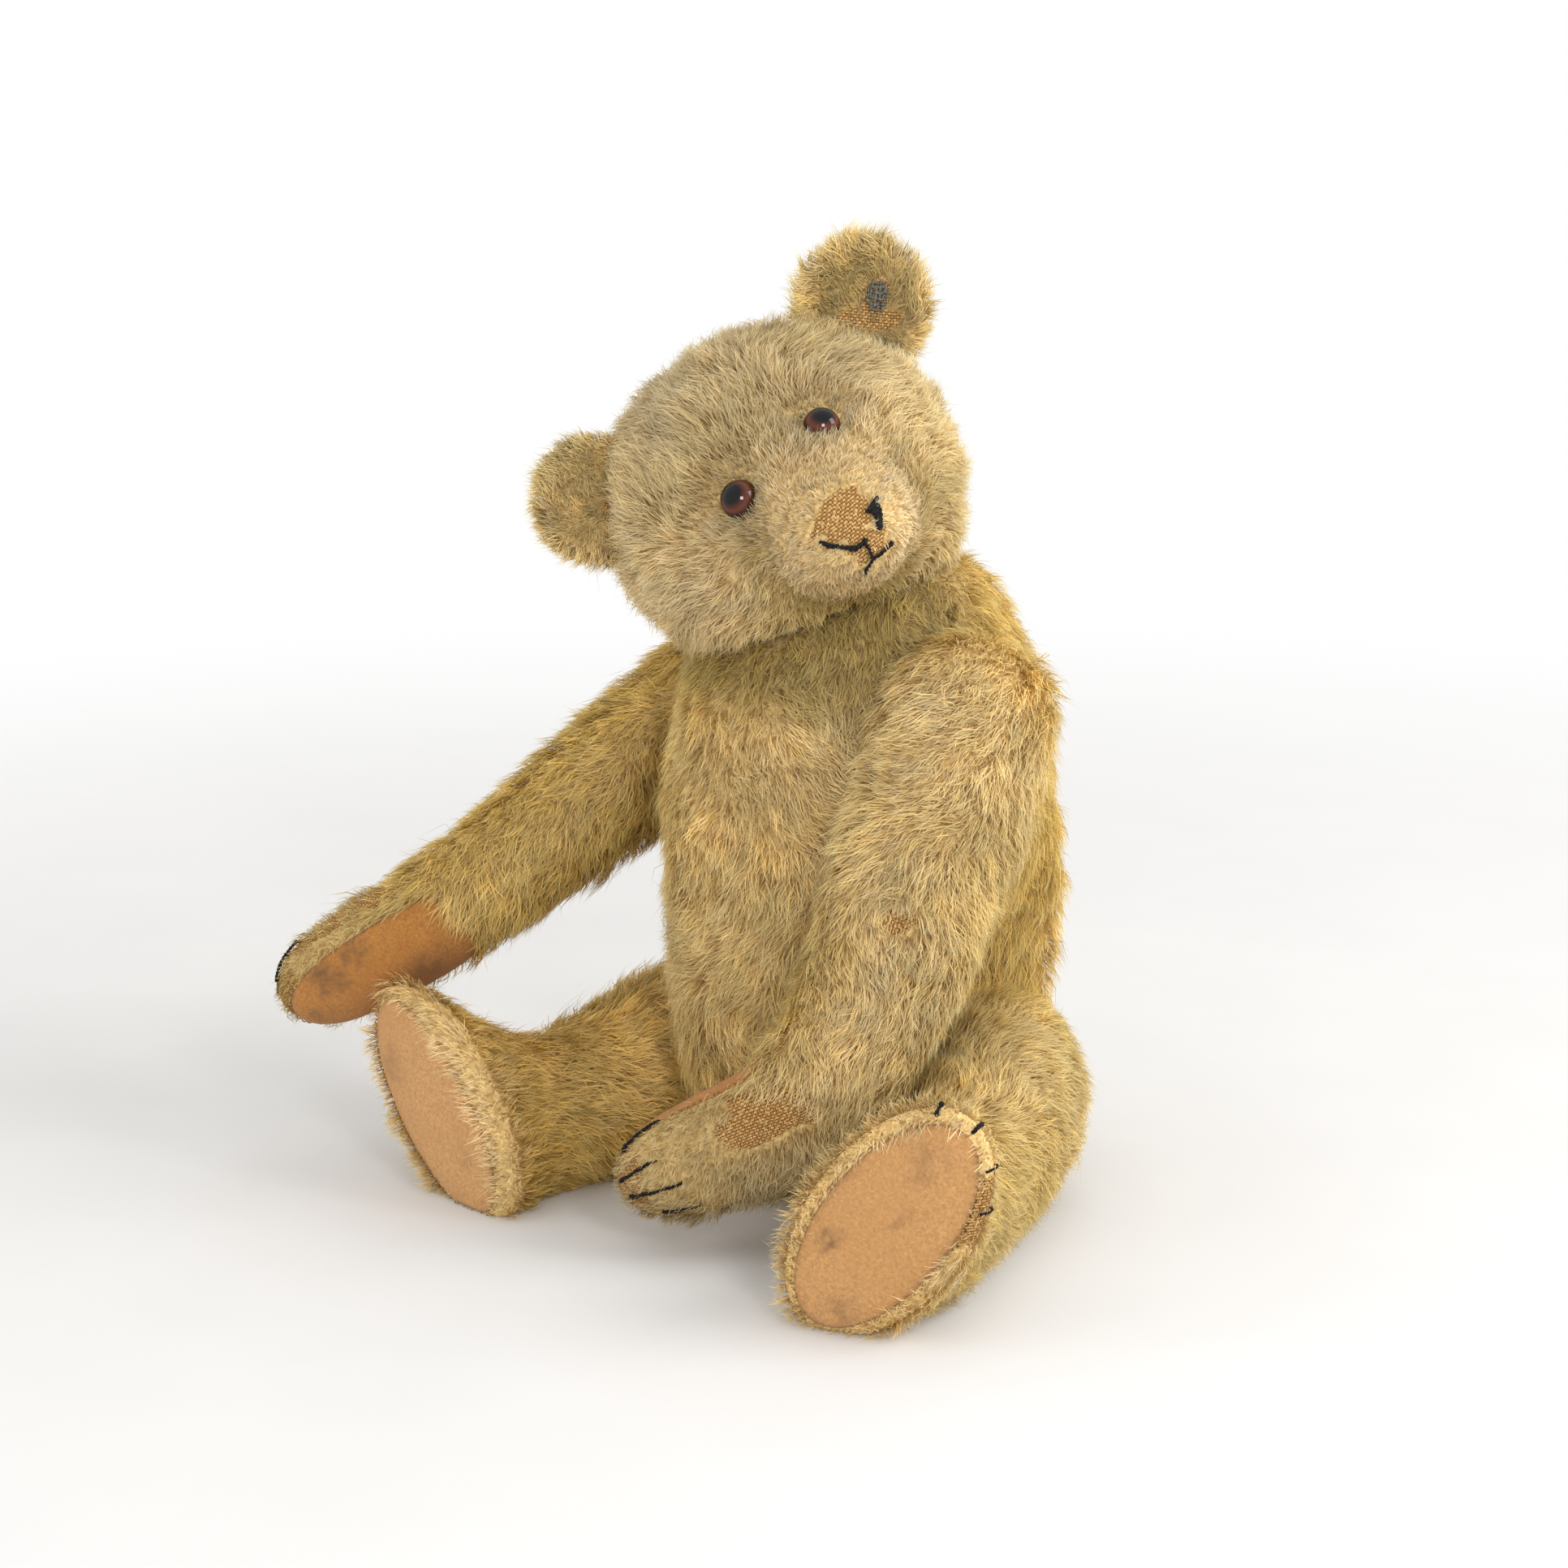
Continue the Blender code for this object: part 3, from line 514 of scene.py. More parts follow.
# ---- materials
class Graph:
    """The nodes of a material, or of the world, made and joined in code."""

    def __init__(self, owner):
        self.owner = bpy.data.materials.new(owner) if isinstance(owner, str) else owner
        self.owner.use_nodes = True
        self.tree = self.owner.node_tree
        self.shader = self.tree.nodes.get("Principled BSDF")

    def node(self, kind, inputs=(), **settings):
        made = self.tree.nodes.new("ShaderNode" + kind)
        for key, value in settings.items():
            setattr(made, key, value)
        for key, value in dict(inputs).items():
            self.feed(made.inputs[key], value)
        return made

    def feed(self, socket, value):
        if isinstance(value, bpy.types.NodeSocket):
            self.tree.links.new(value, socket)
        elif value is not None:
            socket.default_value = value

    def math(self, operation, a, b=None):
        return self.node("Math", {0: a, 1: b}, operation=operation).outputs[0]

    def plus(self, a, b):
        return self.math("ADD", a, b)

    def times(self, a, b):
        return self.math("MULTIPLY", a, b)

    def attribute(self, name):
        return self.node("Attribute", attribute_name=name).outputs

    def split(self, vector):
        return self.node("SeparateXYZ", {0: vector}).outputs

    def place(self):
        return self.node("TexCoord").outputs["Object"]

    def noise(self, scale, detail=3.0, roughness=0.5, vector=None, distortion=0.0):
        inputs = {"Vector": vector or self.place(), "Scale": scale, "Detail": detail}
        inputs.update({"Roughness": roughness, "Distortion": distortion})
        return self.node("TexNoise", inputs).outputs["Fac"]

    def span(self, value, low, high, to_low=0.0, to_high=1.0):
        inputs = {0: value, 1: low, 2: high, 3: to_low, 4: to_high}
        return self.node("MapRange", inputs).outputs[0]

    def mix(self, share, a, b, blend="MIX"):
        a, b = ((*value, 1.0) if isinstance(value, tuple) else value for value in (a, b))
        made = self.node("Mix", data_type="RGBA", blend_type=blend)
        for key, value in ((0, share), (6, a), (7, b)):
            self.feed(made.inputs[key], value)
        return made.outputs[2]

    def tinted(self, colour, tint):
        return self.mix(1.0, colour, tint, "MULTIPLY")

    def shaded(self, colour, amount):
        """A colour times one value."""
        inputs = {0: amount, 1: amount, 2: amount}
        return self.tinted(colour, self.node("CombineXYZ", inputs).outputs[0])

    def seen(self):
        """1 for rays straight from the viewer or by gloss or glass, 0 for those that light."""
        rays = self.node("LightPath").outputs
        either = self.math("MAXIMUM", rays["Is Camera Ray"], rays["Is Glossy Ray"])
        return self.math("MAXIMUM", either, rays["Is Transmission Ray"])

    def ramp(self, value, places, colours):
        made = self.node("ValToRGB", {0: value})
        elements = made.color_ramp.elements
        while len(elements) < len(places):
            elements.new(1.0)
        for element, at, colour in zip(elements, places, colours):
            element.position = at
            element.color = (*colour, 1.0)
        return made.outputs[0]

    def bump(self, height, distance, strength=1.0):
        inputs = {"Height": height, "Distance": distance * MM, "Strength": strength}
        self.feed(self.shader.inputs["Normal"], self.node("Bump", inputs).outputs[0])

    def mixed_surface(self, share, a, b):
        """Give the surface or the world a mix of two shaders."""
        both = self.node("MixShader", {0: share, 1: a, 2: b}).outputs[0]
        output = next(node for node in self.tree.nodes if "OUTPUT" in node.type)
        self.feed(output.inputs["Surface"], both)

    def finish(self, colour, **inputs):
        self.feed(self.shader.inputs["Base Color"], colour)
        for key, value in inputs.items():
            self.feed(self.shader.inputs[key.replace("_", " ")], value)
        return self.owner


def rgb(red, green, blue):
    """An sRGB colour of 0 to 255, as linear values."""

    def linear(value):
        value /= 255
        return value / 12.92 if value <= 0.04045 else ((value + 0.055) / 1.055) ** 2.4

    return tuple(linear(v) for v in (red, green, blue))


PILE_TRANSLUCENCY = 0.4
PILE_TRANSMITS = (1.0, 1.0, 0.88)
WEAVE_PITCH = 0.86


def pile_material():
    """Mohair: brown at the foot as painted shade deep in the pile, and pale at the tip, from
    grey-cream to yellow gold.
    """
    g = Graph("mohair_pile")
    along, shade, tone = g.split(g.attribute("pile")["Vector"])
    # the brown foot of each ramp is painted shade deep in the pile
    at = (0.0, 0.45, 1.0)
    cream = g.ramp(along, at, (rgb(156, 120, 72), rgb(222, 197, 148), rgb(248, 236, 198)))
    gold = g.ramp(along, at, (rgb(156, 112, 44), rgb(223, 189, 100), rgb(246, 227, 150)))
    soil = g.span(g.noise(38.0, 4.0), 0.38, 0.66, 0.92, 1.04)
    # shade holds chance variation and the painted light and shade of the fields
    colour = g.shaded(g.mix(tone, cream, gold), g.times(shade, soil))
    through = g.node("BsdfTranslucent", {"Color": g.tinted(colour, PILE_TRANSMITS)})
    g.mixed_surface(PILE_TRANSLUCENCY, g.shader.outputs[0], through.outputs[0])
    return g.finish(colour, Roughness=0.48, Specular_IOR_Level=0.5)


def weave(g):
    """Height of a plain weave, 0 to 1, and which thread is over, in the cloth's own map."""
    across, down, _ = g.split(g.node("UVMap", uv_map="weave").outputs[0])
    wobble = g.span(g.noise(420.0, 2.0), 0.0, 1.0, -0.12, 0.12)
    across, down = (g.plus(g.math("DIVIDE", x, WEAVE_PITCH), wobble) for x in (across, down))
    over = g.math("PINGPONG", g.plus(g.math("FLOOR", across), g.math("FLOOR", down)), 1.0)
    warp, weft = (g.math("ABSOLUTE", g.math("SINE", g.times(x, pi))) for x in (across, down))
    under = g.math("SUBTRACT", 1.0, over)
    return g.plus(g.times(warp, over), g.times(weft, under)), over


def backing_material():
    """The cloth under the pile: its woven backing where it is bare, else the foot of the pile."""
    g = Graph("mohair_backing")
    height, over = weave(g)
    threads = g.mix(over, rgb(200, 158, 98), rgb(162, 118, 66))
    # dark brown where the weave is low: painted shade in the hollows between threads
    woven = g.mix(g.span(height, 0.25, 0.8), rgb(78, 50, 24), threads)
    # scattered pale gold dots: painted glints on the threads
    painted_glint = g.span(g.noise(1100.0, 2.0), 0.56, 0.64, 0.0, 0.5)
    woven = g.mix(painted_glint, woven, rgb(236, 202, 136))
    stain = g.span(g.noise(60.0, 4.0), 0.35, 0.7)
    woven = g.mix(stain, woven, g.tinted(woven, (0.88, 0.82, 0.74)))
    matted = g.noise(520.0, 5.0, 0.65, distortion=1.2)
    tufts = (rgb(160, 126, 74), rgb(194, 165, 108), rgb(220, 197, 142))
    # the shade attribute carries the fields' painted light and shade, and painted shade where
    # bodies press close
    foot = g.shaded(g.ramp(matted, (0.3, 0.5, 0.7), tufts), g.attribute("shade")["Fac"])
    ragged = g.span(g.noise(650.0, 3.0), 0.3, 0.7, -0.3, 0.3)
    bare = g.span(g.plus(g.attribute("bare")["Fac"], ragged), 0.3, 0.7)
    g.bump(g.times(height, bare), 0.22)
    return g.finish(g.mix(bare, foot, woven), Roughness=0.92, Specular_IOR_Level=0.2)


def felt_material(name, base, dark):
    """Wool felt: matted fibres, handled and a little soiled."""
    g = Graph(name)
    fibres = g.noise(1900.0, 5.0, 0.7, distortion=1.4)
    mat = g.noise(950.0, 4.0, 0.6, distortion=0.5)
    soil = g.attribute("soil")["Fac"]
    grain = g.plus(g.times(fibres, 0.5), g.times(mat, 0.5))
    light = tuple(min(1, 1.2 * value) for value in base)
    colour = g.mix(g.span(grain, 0.36, 0.64), tuple(0.62 * value for value in base), light)
    colour = g.mix(g.span(g.noise(42.0, 3.0), 0.35, 0.7, 0.0, 0.4), colour, dark)
    specks = g.span(g.noise(520.0, 2.0), 0.62, 0.72, 0.0, 0.35)
    smudge = g.times(soil, g.span(g.noise(240.0, 4.0), 0.30, 0.62))
    colour = g.mix(g.math("MAXIMUM", smudge, g.times(specks, soil)), colour, rgb(98, 72, 50))
    g.bump(g.plus(fibres, mat), 0.3, 0.9)
    finish = {"Specular_IOR_Level": 0.12, "Sheen_Weight": 0.12, "Sheen_Roughness": 0.6}
    return g.finish(colour, Roughness=0.95, **finish)


def thread_material(name, light, dark, fuzz=1500.0, low=0.3, high=0.7, roughness=0.85):
    g = Graph(name)
    colour = g.mix(g.span(g.noise(fuzz, 4.0, 0.7), low, high), light, dark)
    g.bump(g.noise(2600.0, 3.0), 0.05)
    return g.finish(colour, Roughness=roughness, Specular_IOR_Level=0.2)


def eye_material():
    """Brown glass over a black pupil, fire-polished."""
    g = Graph("glass_eye")
    wobble = g.span(g.noise(500.0, 3.0), 0, 1, -0.02, 0.02)
    reach = g.plus(g.attribute("radial")["Fac"], wobble)
    pupil, ring = (rgb(5, 4, 4), rgb(7, 4, 4)), (rgb(38, 15, 9), rgb(92, 44, 26), rgb(52, 26, 16))
    colour = g.ramp(reach, (0.0, 0.44, 0.52, 0.80, 1.0), pupil + ring)
    return g.finish(colour, Roughness=0.04, Specular_IOR_Level=0.32)


def inner_material(name, light, dark, scale, roughness, metallic=0.0, streak=1.0, bump=0.2):
    """For what lies inside the skins: wood wool, hardboard and steel."""
    g = Graph(name)
    mapping = g.node("Mapping", {"Vector": g.place(), "Scale": (1.0, streak, 1.0)}).outputs[0]
    grain = g.noise(scale, 6.0, 0.7, vector=mapping, distortion=0.5)
    colour = g.mix(g.span(grain, 0.3, 0.7), dark, light)
    g.bump(grain, bump)
    return g.finish(colour, Roughness=roughness, Metallic=metallic)


PILE = pile_material()
BACKING = backing_material()
FOOT_FELT = felt_material("foot_felt", rgb(200, 151, 96), rgb(186, 136, 82))
PAW_FELT = felt_material("paw_felt", rgb(178, 122, 60), rgb(156, 100, 49))
BLACK = (rgb(14, 13, 14), rgb(40, 38, 37))
THREAD = thread_material("black_thread", *BLACK, fuzz=1100.0, low=0.35, high=0.75, roughness=0.8)
SEAM_THREAD = thread_material("seam_thread", rgb(176, 142, 98), rgb(132, 100, 62))
DARN_THREAD = thread_material("grey_darning", rgb(128, 130, 122), rgb(44, 48, 48))
GLASS = eye_material()


# ---- making pieces
def add_piece(name, mesh, body, slot):
    obj = link_object(name, mesh)
    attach(obj, body)
    return obj


def make_object(name, points, faces, material, body, slot):
    """A piece from millimetre points, riding on a body."""
    mesh = bpy.data.meshes.new(name)
    mesh.from_pydata((np.asarray(points) * MM).tolist(), [], faces)
    mesh.materials.append(material)
    mesh.polygons.foreach_set("use_smooth", [True] * len(mesh.polygons))
    mesh.update()
    return add_piece(name, mesh, body, slot)


def write_attribute(mesh, name, values, kind="FLOAT"):
    made = mesh.attributes.new(name, kind, "POINT")
    key = "value" if kind == "FLOAT" else "vector"
    made.data.foreach_set(key, np.ascontiguousarray(values, np.float32).ravel())


def write_uv(mesh, name, per_vertex):
    """A UV map from one pair per vertex."""
    layer = mesh.uv_layers.new(name=name)
    corners = np.zeros(len(mesh.loops), int)
    mesh.loops.foreach_get("vertex_index", corners)
    layer.data.foreach_set("uv", np.asarray(per_vertex, np.float32)[corners].ravel())


# painted shade: the cloth is drawn darker where two bodies press close
PRESSED_SHADE = 0.8  # of the cloth where two bodies press its pile flat


def add_pelt(name, body, form, cloth, field, stands_for):
    """The cloth under the pile, with the woven backing where the field says it is bare."""
    obj = make_object(name, form.points, form.quads.tolist(), BACKING, body, "mohair")
    write_uv(obj.data, "weave", cloth)
    look = field(form.points, form.normals)
    tree = others(body)
    near = [tree.find_nearest(Vector(spot), PRESSED_WITHIN)[3] for spot in form.points]
    pressed = np.array([gap is not None for gap in near])
    write_attribute(obj.data, "bare", look["bare"])
    # painted shade where another body presses close
    write_attribute(obj.data, "shade", look["shade"] * np.where(pressed, PRESSED_SHADE, 1.0))
    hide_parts(stands_for)


# ---- where things are on the bear
def arm_coordinates(name, points):
    """Distance along an arm, angle round it from its outer side upward, and its directions."""
    side = SIDES[name]
    spots = limb_coordinates("shoulder_" + name, side, points)
    line = LINES[name]
    gap = norm(spots[:, None, :] - line[None, :, 0, :])
    nearest = gap.argmin(1)
    middle, direction, across = (line[nearest, k] for k in range(3))
    upward = np.cross(across, direction)
    offset = spots - middle
    angle = np.arctan2((offset * upward).sum(1), (offset * across).sum(1))
    flow = direction * (1, -side, 1) @ FRAMES["shoulder_" + name][:3, :3].T
    return nearest + ARM_START, angle, flow


def along_arm(name, points):
    """The same for many points, a few thousand at a time."""
    chunks = np.array_split(points, len(points) // 4000 + 1)
    return [np.concatenate(rows) for rows in zip(*(arm_coordinates(name, c) for c in chunks))]


def paw_pad_frame(name):
    """Frame of a paw pad: X along the paw, Z out of the palm."""
    side = SIDES[name]
    middle, direction, across = LINES[name][PAW_PAD_AT - ARM_START]
    turn = radians(PALM_TURN[name])
    palm = -across * cos(turn) - np.cross(across, direction) * sin(turn)
    at = FRAMES["shoulder_" + name]
    x = at[:3, :3] @ limb_point(side, *direction)
    z = at[:3, :3] @ limb_point(side, *palm)
    return frame_of(x, z, place(at, limb_point(side, *middle)))


def foot_pad_frame(name):
    """Frame of a foot pad: X toward the toe, Z out of the sole."""
    side = SIDES[name]
    at = FRAMES["hip_" + name]
    x = at[:3, :3] @ limb_point(side, 0, cos(FOOT_TWIST), sin(FOOT_TWIST))
    z = at[:3, :3] @ limb_point(side, 1, 0, 0)
    return frame_of(x, z, place(at, leg_middle(side, LEG_END, SOLE_RISE)))


PAW_FRAMES = {name: paw_pad_frame(name) for name in SIDES}
FOOT_FRAMES = {name: foot_pad_frame(name) for name in SIDES}


def inside_oval(at, half_sizes, points):
    """Above 0 inside an oval, and the height over its plane."""
    spots = local(at, points)
    oval = 1 - (spots[:, 0] / half_sizes[0]) ** 2 - (spots[:, 1] / half_sizes[1]) ** 2
    return oval, spots[:, 2]


def inside_paw_pad(name, points):
    """Above 0 inside the paw pad's outline, as a share of its size."""
    oval, height = inside_oval(PAW_FRAMES[name], PAW_PAD, points)
    return np.minimum(oval, (height - PAW_PAD_FROM) / PAW_PAD_FADE)


def inside_foot_pad(name, points):
    oval, height = inside_oval(FOOT_FRAMES[name], FOOT_PAD, points)
    return np.where(height > -FOOT_PAD_DEPTH, oval, -1)


# ---- pelts
def build_pelts():
    torso, head = FORMS["torso"], FORMS["head"]
    face = local(HEAD, head.points)[:, (1, 2)]
    rows = [("torso", torso.points[:, (0, 2)], torso_field), ("head", face, head_field)]
    for name, side in SIDES.items():
        along, angle, _ = along_arm(name, FORMS["arm_" + name].points)
        cloth = np.column_stack((along, angle * ARM_ROUND))
        rows.append(("arm_" + name, cloth, arm_field(name)))
        cloth = limb_coordinates("hip_" + name, side, FORMS["leg_" + name].points)[:, (0, 1)]
        rows.append(("leg_" + name, cloth, leg_field(name)))
        cloth = local(ear_frame(name), FORMS["ear_" + name].points)[:, (1, 2)]
        rows.append(("ear_" + name, cloth, ear_field(name)))
    for part, cloth, field in rows:
        is_ear = part.startswith("ear")
        stands_for = part if is_ear else part + "_skin"
        body = "head" if is_ear else part
        add_pelt(part + "_pelt", body, FORMS[part], cloth, field, stands_for)


# ---- felt pads
PAD_RINGS = (0, 0.2, 0.4, 0.58, 0.72, 0.83, 0.9, 0.945, 0.972, 0.988, 1.0)
PAD_SPOKES = 144
PAD_RIM = 1 + (len(PAD_RINGS) - 2) * PAD_SPOKES  # first point of the outermost ring
PAD_INNER = PAD_RIM - 3 * PAD_SPOKES  # and of the ring that stitches lean toward
PAD_UNDER = 0.8  # depth of a pad's underside in the skin
STITCH_PITCH = 2.3
PALM_STRAIGHT = 18.0  # a palm is round beyond this from the middle of its pad
PALM_ROUND = (13.0, 15.0)  # its roundness along and across
# stains on each pad: place along and across it, radius and strength
STAINS = {
    "foot_left": (((-13, 9), 5, 0.75), ((6, -3), 3, 0.5), ((-27, -6), 6, 0.5), ((25, 2), 8, 0.35)),
    "foot_right": (((20, 6), 8, 0.35), ((-20, -4), 6, 0.25)),
    "paw_left": (((0, 0), 12, 0.4),),
    "paw_right": (((14, -10), 9, 0.8), ((2, -13), 8, 0.6), ((-16, 4), 9, 0.55), ((24, 4), 7, 0.5)),
}


def pad_outline(cast, inside, half_u, half_v):
    """Where each spoke from the middle of a pad reaches its edge."""
    reach = []
    for k in range(PAD_SPOKES):
        angle = 2 * pi * k / PAD_SPOKES
        low, high = 0.2, 1.6
        for _ in range(14):
            share = (low + high) / 2
            spot, _ = cast(share * half_u * cos(angle), share * half_v * sin(angle))
            if inside(spot[None])[0] > 0:
                low = share
            else:
                high = share
        reach.append(low)
    soft = reach = np.array(reach)
    for _ in range(3):
        soft = (np.roll(soft, 1) + 2 * soft + np.roll(soft, -1)) / 4
    return np.minimum(soft, reach)


def add_felt_pad(name, body, cast, inside, half_u, half_v, material, stains):
    """A crowned felt pad laid on the skin, rolled under at its sewn edge."""
    reach = pad_outline(cast, inside, half_u, half_v)
    spots, normals, cloth, edge = [], [], [], []
    for share in PAD_RINGS:
        for k in range(PAD_SPOKES if share else 1):
            angle = 2 * pi * k / PAD_SPOKES
            u = share * reach[k] * half_u * cos(angle)
            v = share * reach[k] * half_v * sin(angle)
            spot, normal = cast(u, v)
            spots.append(spot)
            normals.append(normal)
            cloth.append((u, v))
            edge.append((1 - share) * hypot(half_u * cos(angle), half_v * sin(angle)))
    spots, normals, cloth, edge = (np.array(rows) for rows in (spots, normals, cloth, edge))
    arc = run_lengths(spots[PAD_RIM:])
    pucker = np.cos(2 * np.pi * arc / STITCH_PITCH)
    pucker = np.concatenate(((0,), np.tile(pucker, len(PAD_RINGS) - 1)))
    lift = -0.45 + 1.35 * (1 - np.exp(-edge / 0.8)) + 0.07 * pucker * np.exp(-edge / 1.6)
    lift += 0.12 * ripple(spots, 9, 5) * smooth(edge, 1, 5)
    top = spots + normals * lift[:, None]
    under = spots - normals * PAD_UNDER
    count = len(spots)
    faces = []
    for base, turn in ((0, 1), (count, -1)):
        for k in range(PAD_SPOKES):
            n = (k + 1) % PAD_SPOKES
            faces.append((base, base + 1 + k, base + 1 + n)[::turn])
            for a in range(base + 1, base + PAD_RIM, PAD_SPOKES):
                faces.append((a + k, a + PAD_SPOKES + k, a + PAD_SPOKES + n, a + n)[::turn])
    for k in range(PAD_RIM, count):
        n = k + 1 if k + 1 < count else PAD_RIM
        faces.append((k, count + k, count + n, n))
    obj = make_object(name, np.concatenate((top, under)), faces, material, body, "felt")
    write_uv(obj.data, "weave", np.concatenate((cloth, cloth)))
    soil = 0.7 * np.exp(-edge / 0.9)
    for (u, v), size, strength in stains:
        gap = np.hypot(cloth[:, 0] - u, cloth[:, 1] - v)
        soil = np.maximum(soil, strength * (1 - smooth(gap, size * 0.4, size)))
    write_attribute(obj.data, "soil", np.concatenate((soil, soil)))
    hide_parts(name.replace("_felt", "_pad"))
    return spots, normals, arc


def tube(points, radius, sides=6):
    """Closed tube along points, as (vertices, faces)."""
    points = np.asarray(points, float)
    tangents = unit(np.gradient(points, axis=0))
    side = unit(np.cross(tangents, (0.31, 0.52, 0.79)))
    up = np.cross(tangents, side)
    radius = np.broadcast_to(radius, (len(points),))
    angles = (2 * np.pi * np.arange(sides) / sides)[None, :, None]
    circle = side[:, None] * np.cos(angles) + up[:, None] * np.sin(angles)
    rings = points[:, None] + circle * radius[:, None, None]
    faces = []
    for r in range(len(points) - 1):
        for k in range(sides):
            n = (k + 1) % sides
            faces.append((r * sides + k, r * sides + n, (r + 1) * sides + n, (r + 1) * sides + k))
    faces.append(tuple(range(sides))[::-1])
    faces.append(tuple(range((len(points) - 1) * sides, len(points) * sides)))
    return rings.reshape(-1, 3), faces


def joined(parts):
    """Several (vertices, faces) as one."""
    vertices, faces, base = [], [], 0
    for points, polygons in parts:
        vertices.append(points)
        faces += [tuple(base + i for i in polygon) for polygon in polygons]
        base += len(points)
    return np.concatenate(vertices), faces


def sew_pad(name, body, spots, normals, arc, rng):
    """Small overcast stitches round a pad."""
    length = arc[-1]
    parts = []
    for k in range(int(length / STITCH_PITCH)):
        at = (k + rng.uniform(-0.15, 0.15)) * STITCH_PITCH
        low = int(np.searchsorted(arc, at % length)) % PAD_SPOKES
        high = (low + 1) % PAD_SPOKES
        rim, lean = spots[PAD_RIM + low], normals[PAD_RIM + low]
        inward = unit(spots[PAD_INNER + high] - rim)
        a = rim + inward * 1.15 + lean * 0.55
        b = rim - inward * 0.1 + lean * 0.95
        c = rim - inward * 1.1 + lean * 0.1
        parts.append(tube((a, mix(a, b, 0.5) + lean * 0.25, b, c), (0.12, 0.2, 0.2, 0.12), 5))
    points, faces = joined(parts)
    make_object(name, points, faces, SEAM_THREAD, body, "thread")


def build_pads():
    rng = np.random.default_rng(SEED + 1)
    for name in SIDES:
        leg, arm = FORMS["leg_" + name], FORMS["arm_" + name]
        sole, palm = FOOT_FRAMES[name], PAW_FRAMES[name]

        def on_sole(u, v):
            return leg.cast(place(sole, (u, v, FROM_SOLE)), -sole[:3, 2])

        def on_palm(u, v):
            row = PAW_PAD_AT - ARM_START + min(u, PALM_STRAIGHT)
            low = floor(row)
            middle = mix(LINES[name][low][0], LINES[name][low + 1][0], row - low)
            angle = v / PALM_ROUND[1]
            tilt = max(0, u - PALM_STRAIGHT) / PALM_ROUND[0]
            aim = palm[:3, 2] * cos(angle) + palm[:3, 1] * sin(angle)
            aim = aim * cos(tilt) + palm[:3, 0] * sin(tilt)
            start = place(FRAMES["shoulder_" + name], limb_point(SIDES[name], *middle))
            return arm.cast(start, aim)

        for limb, kind, cast, inside, half_sizes, felt in (
            ("leg_" + name, "foot", on_sole, inside_foot_pad, FOOT_PAD, FOOT_FELT),
            ("arm_" + name, "paw", on_palm, inside_paw_pad, PAW_PAD, PAW_FELT),
        ):
            outline = cast, lambda spots: inside(name, spots), *half_sizes
            stains = STAINS[f"{kind}_{name}"]
            edge = add_felt_pad(f"{limb}_{kind}_felt", limb, *outline, felt, stains)
            sew_pad(f"{limb}_{kind}_seam", limb, *edge, rng)


# ---- eyes
EYE_ROUND = 5.6  # radius that the pile leaves free round an eye
EYE_EDGE = 1.15  # angle from an eye's axis to the edge of its ring
EYE_BALLS = []


def build_eyes():
    """Glass balls in the place of the CAD eyes, with a pupil round the outward axis."""
    for name in SIDES:
        node = frame["nodes"]["eye_" + name]
        points = np.array([v.co for v in node.data.vertices]) / MM
        fit = points
        for _ in range(3):
            rows = np.column_stack((2 * fit, np.ones(len(fit))))
            answer = np.linalg.lstsq(rows, (fit**2).sum(1), rcond=None)[0]
            middle = answer[:3]
            radius = sqrt(answer[3] + middle @ middle)
            fit = points[np.abs(norm(points - middle) - radius) < 0.4]
        gaps = norm(points - middle)
        outward = unit(middle - points[gaps > gaps.max() - 0.5].mean(0))
        at = frame_of((0.1, 0.2, 1.0), outward, middle)
        bm = bmesh.new()
        bmesh.ops.create_uvsphere(bm, u_segments=48, v_segments=32, radius=radius)
        balls = np.array([v.co for v in bm.verts])
        faces = [[v.index for v in face.verts] for face in bm.faces]
        faces = sorted(f[f.index(min(f)) :] + f[: f.index(min(f))] for f in faces)
        bm.free()
        polar = np.arctan2(np.hypot(balls[:, 0], balls[:, 1]), balls[:, 2])
        obj = make_object(f"eye_{name}_glass", place(at, balls), faces, GLASS, "head", "eye")
        write_attribute(obj.data, "radial", np.clip(polar / EYE_EDGE, 0, 1))
        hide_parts("eye_" + name)
        EYE_BALLS.append(middle)


# ---- embroidery
PLY_RADIUS = 0.4
PLY_LAY = 0.34  # from the middle of a thread to the middle of each ply
THREAD_STEP = 0.3
TWIST_PITCH = 2.6
THREAD_IN = 2.2  # how deep the ends of a thread go into the cloth
CLAW_LIFT = {"arm": 1.2, "leg": 1.0}
CLAW_SIZE = 0.85
CLAW_HAIRS = 6
WORN_CLAWS = {("leg_left", 3): 0.65, ("leg_left", 4): 0.65}
NOSE_LIFT = 1.0
# the left corner of the nose is three threads side by side, each point shifted by a share
KNOT_SHIFTS = (-1.0, 0.0, 1.0)
KNOT_SHARES = (1.0, 0.7, 0.2)


def smooth_line(points, step=THREAD_STEP):
    """Points at even steps along a smooth curve near the given ones."""
    points = np.asarray(points, float)
    for _ in range(3):
        cut = [points[0]]
        for a, b in zip(points, points[1:]):
            cut += [mix(a, b, 0.25), mix(a, b, 0.75)]
        points = np.array(cut + [points[-1]])
    lengths = run_lengths(points)
    at = np.arange(0, lengths[-1], step)
    return np.column_stack([np.interp(at, lengths, points[:, k]) for k in range(3)])


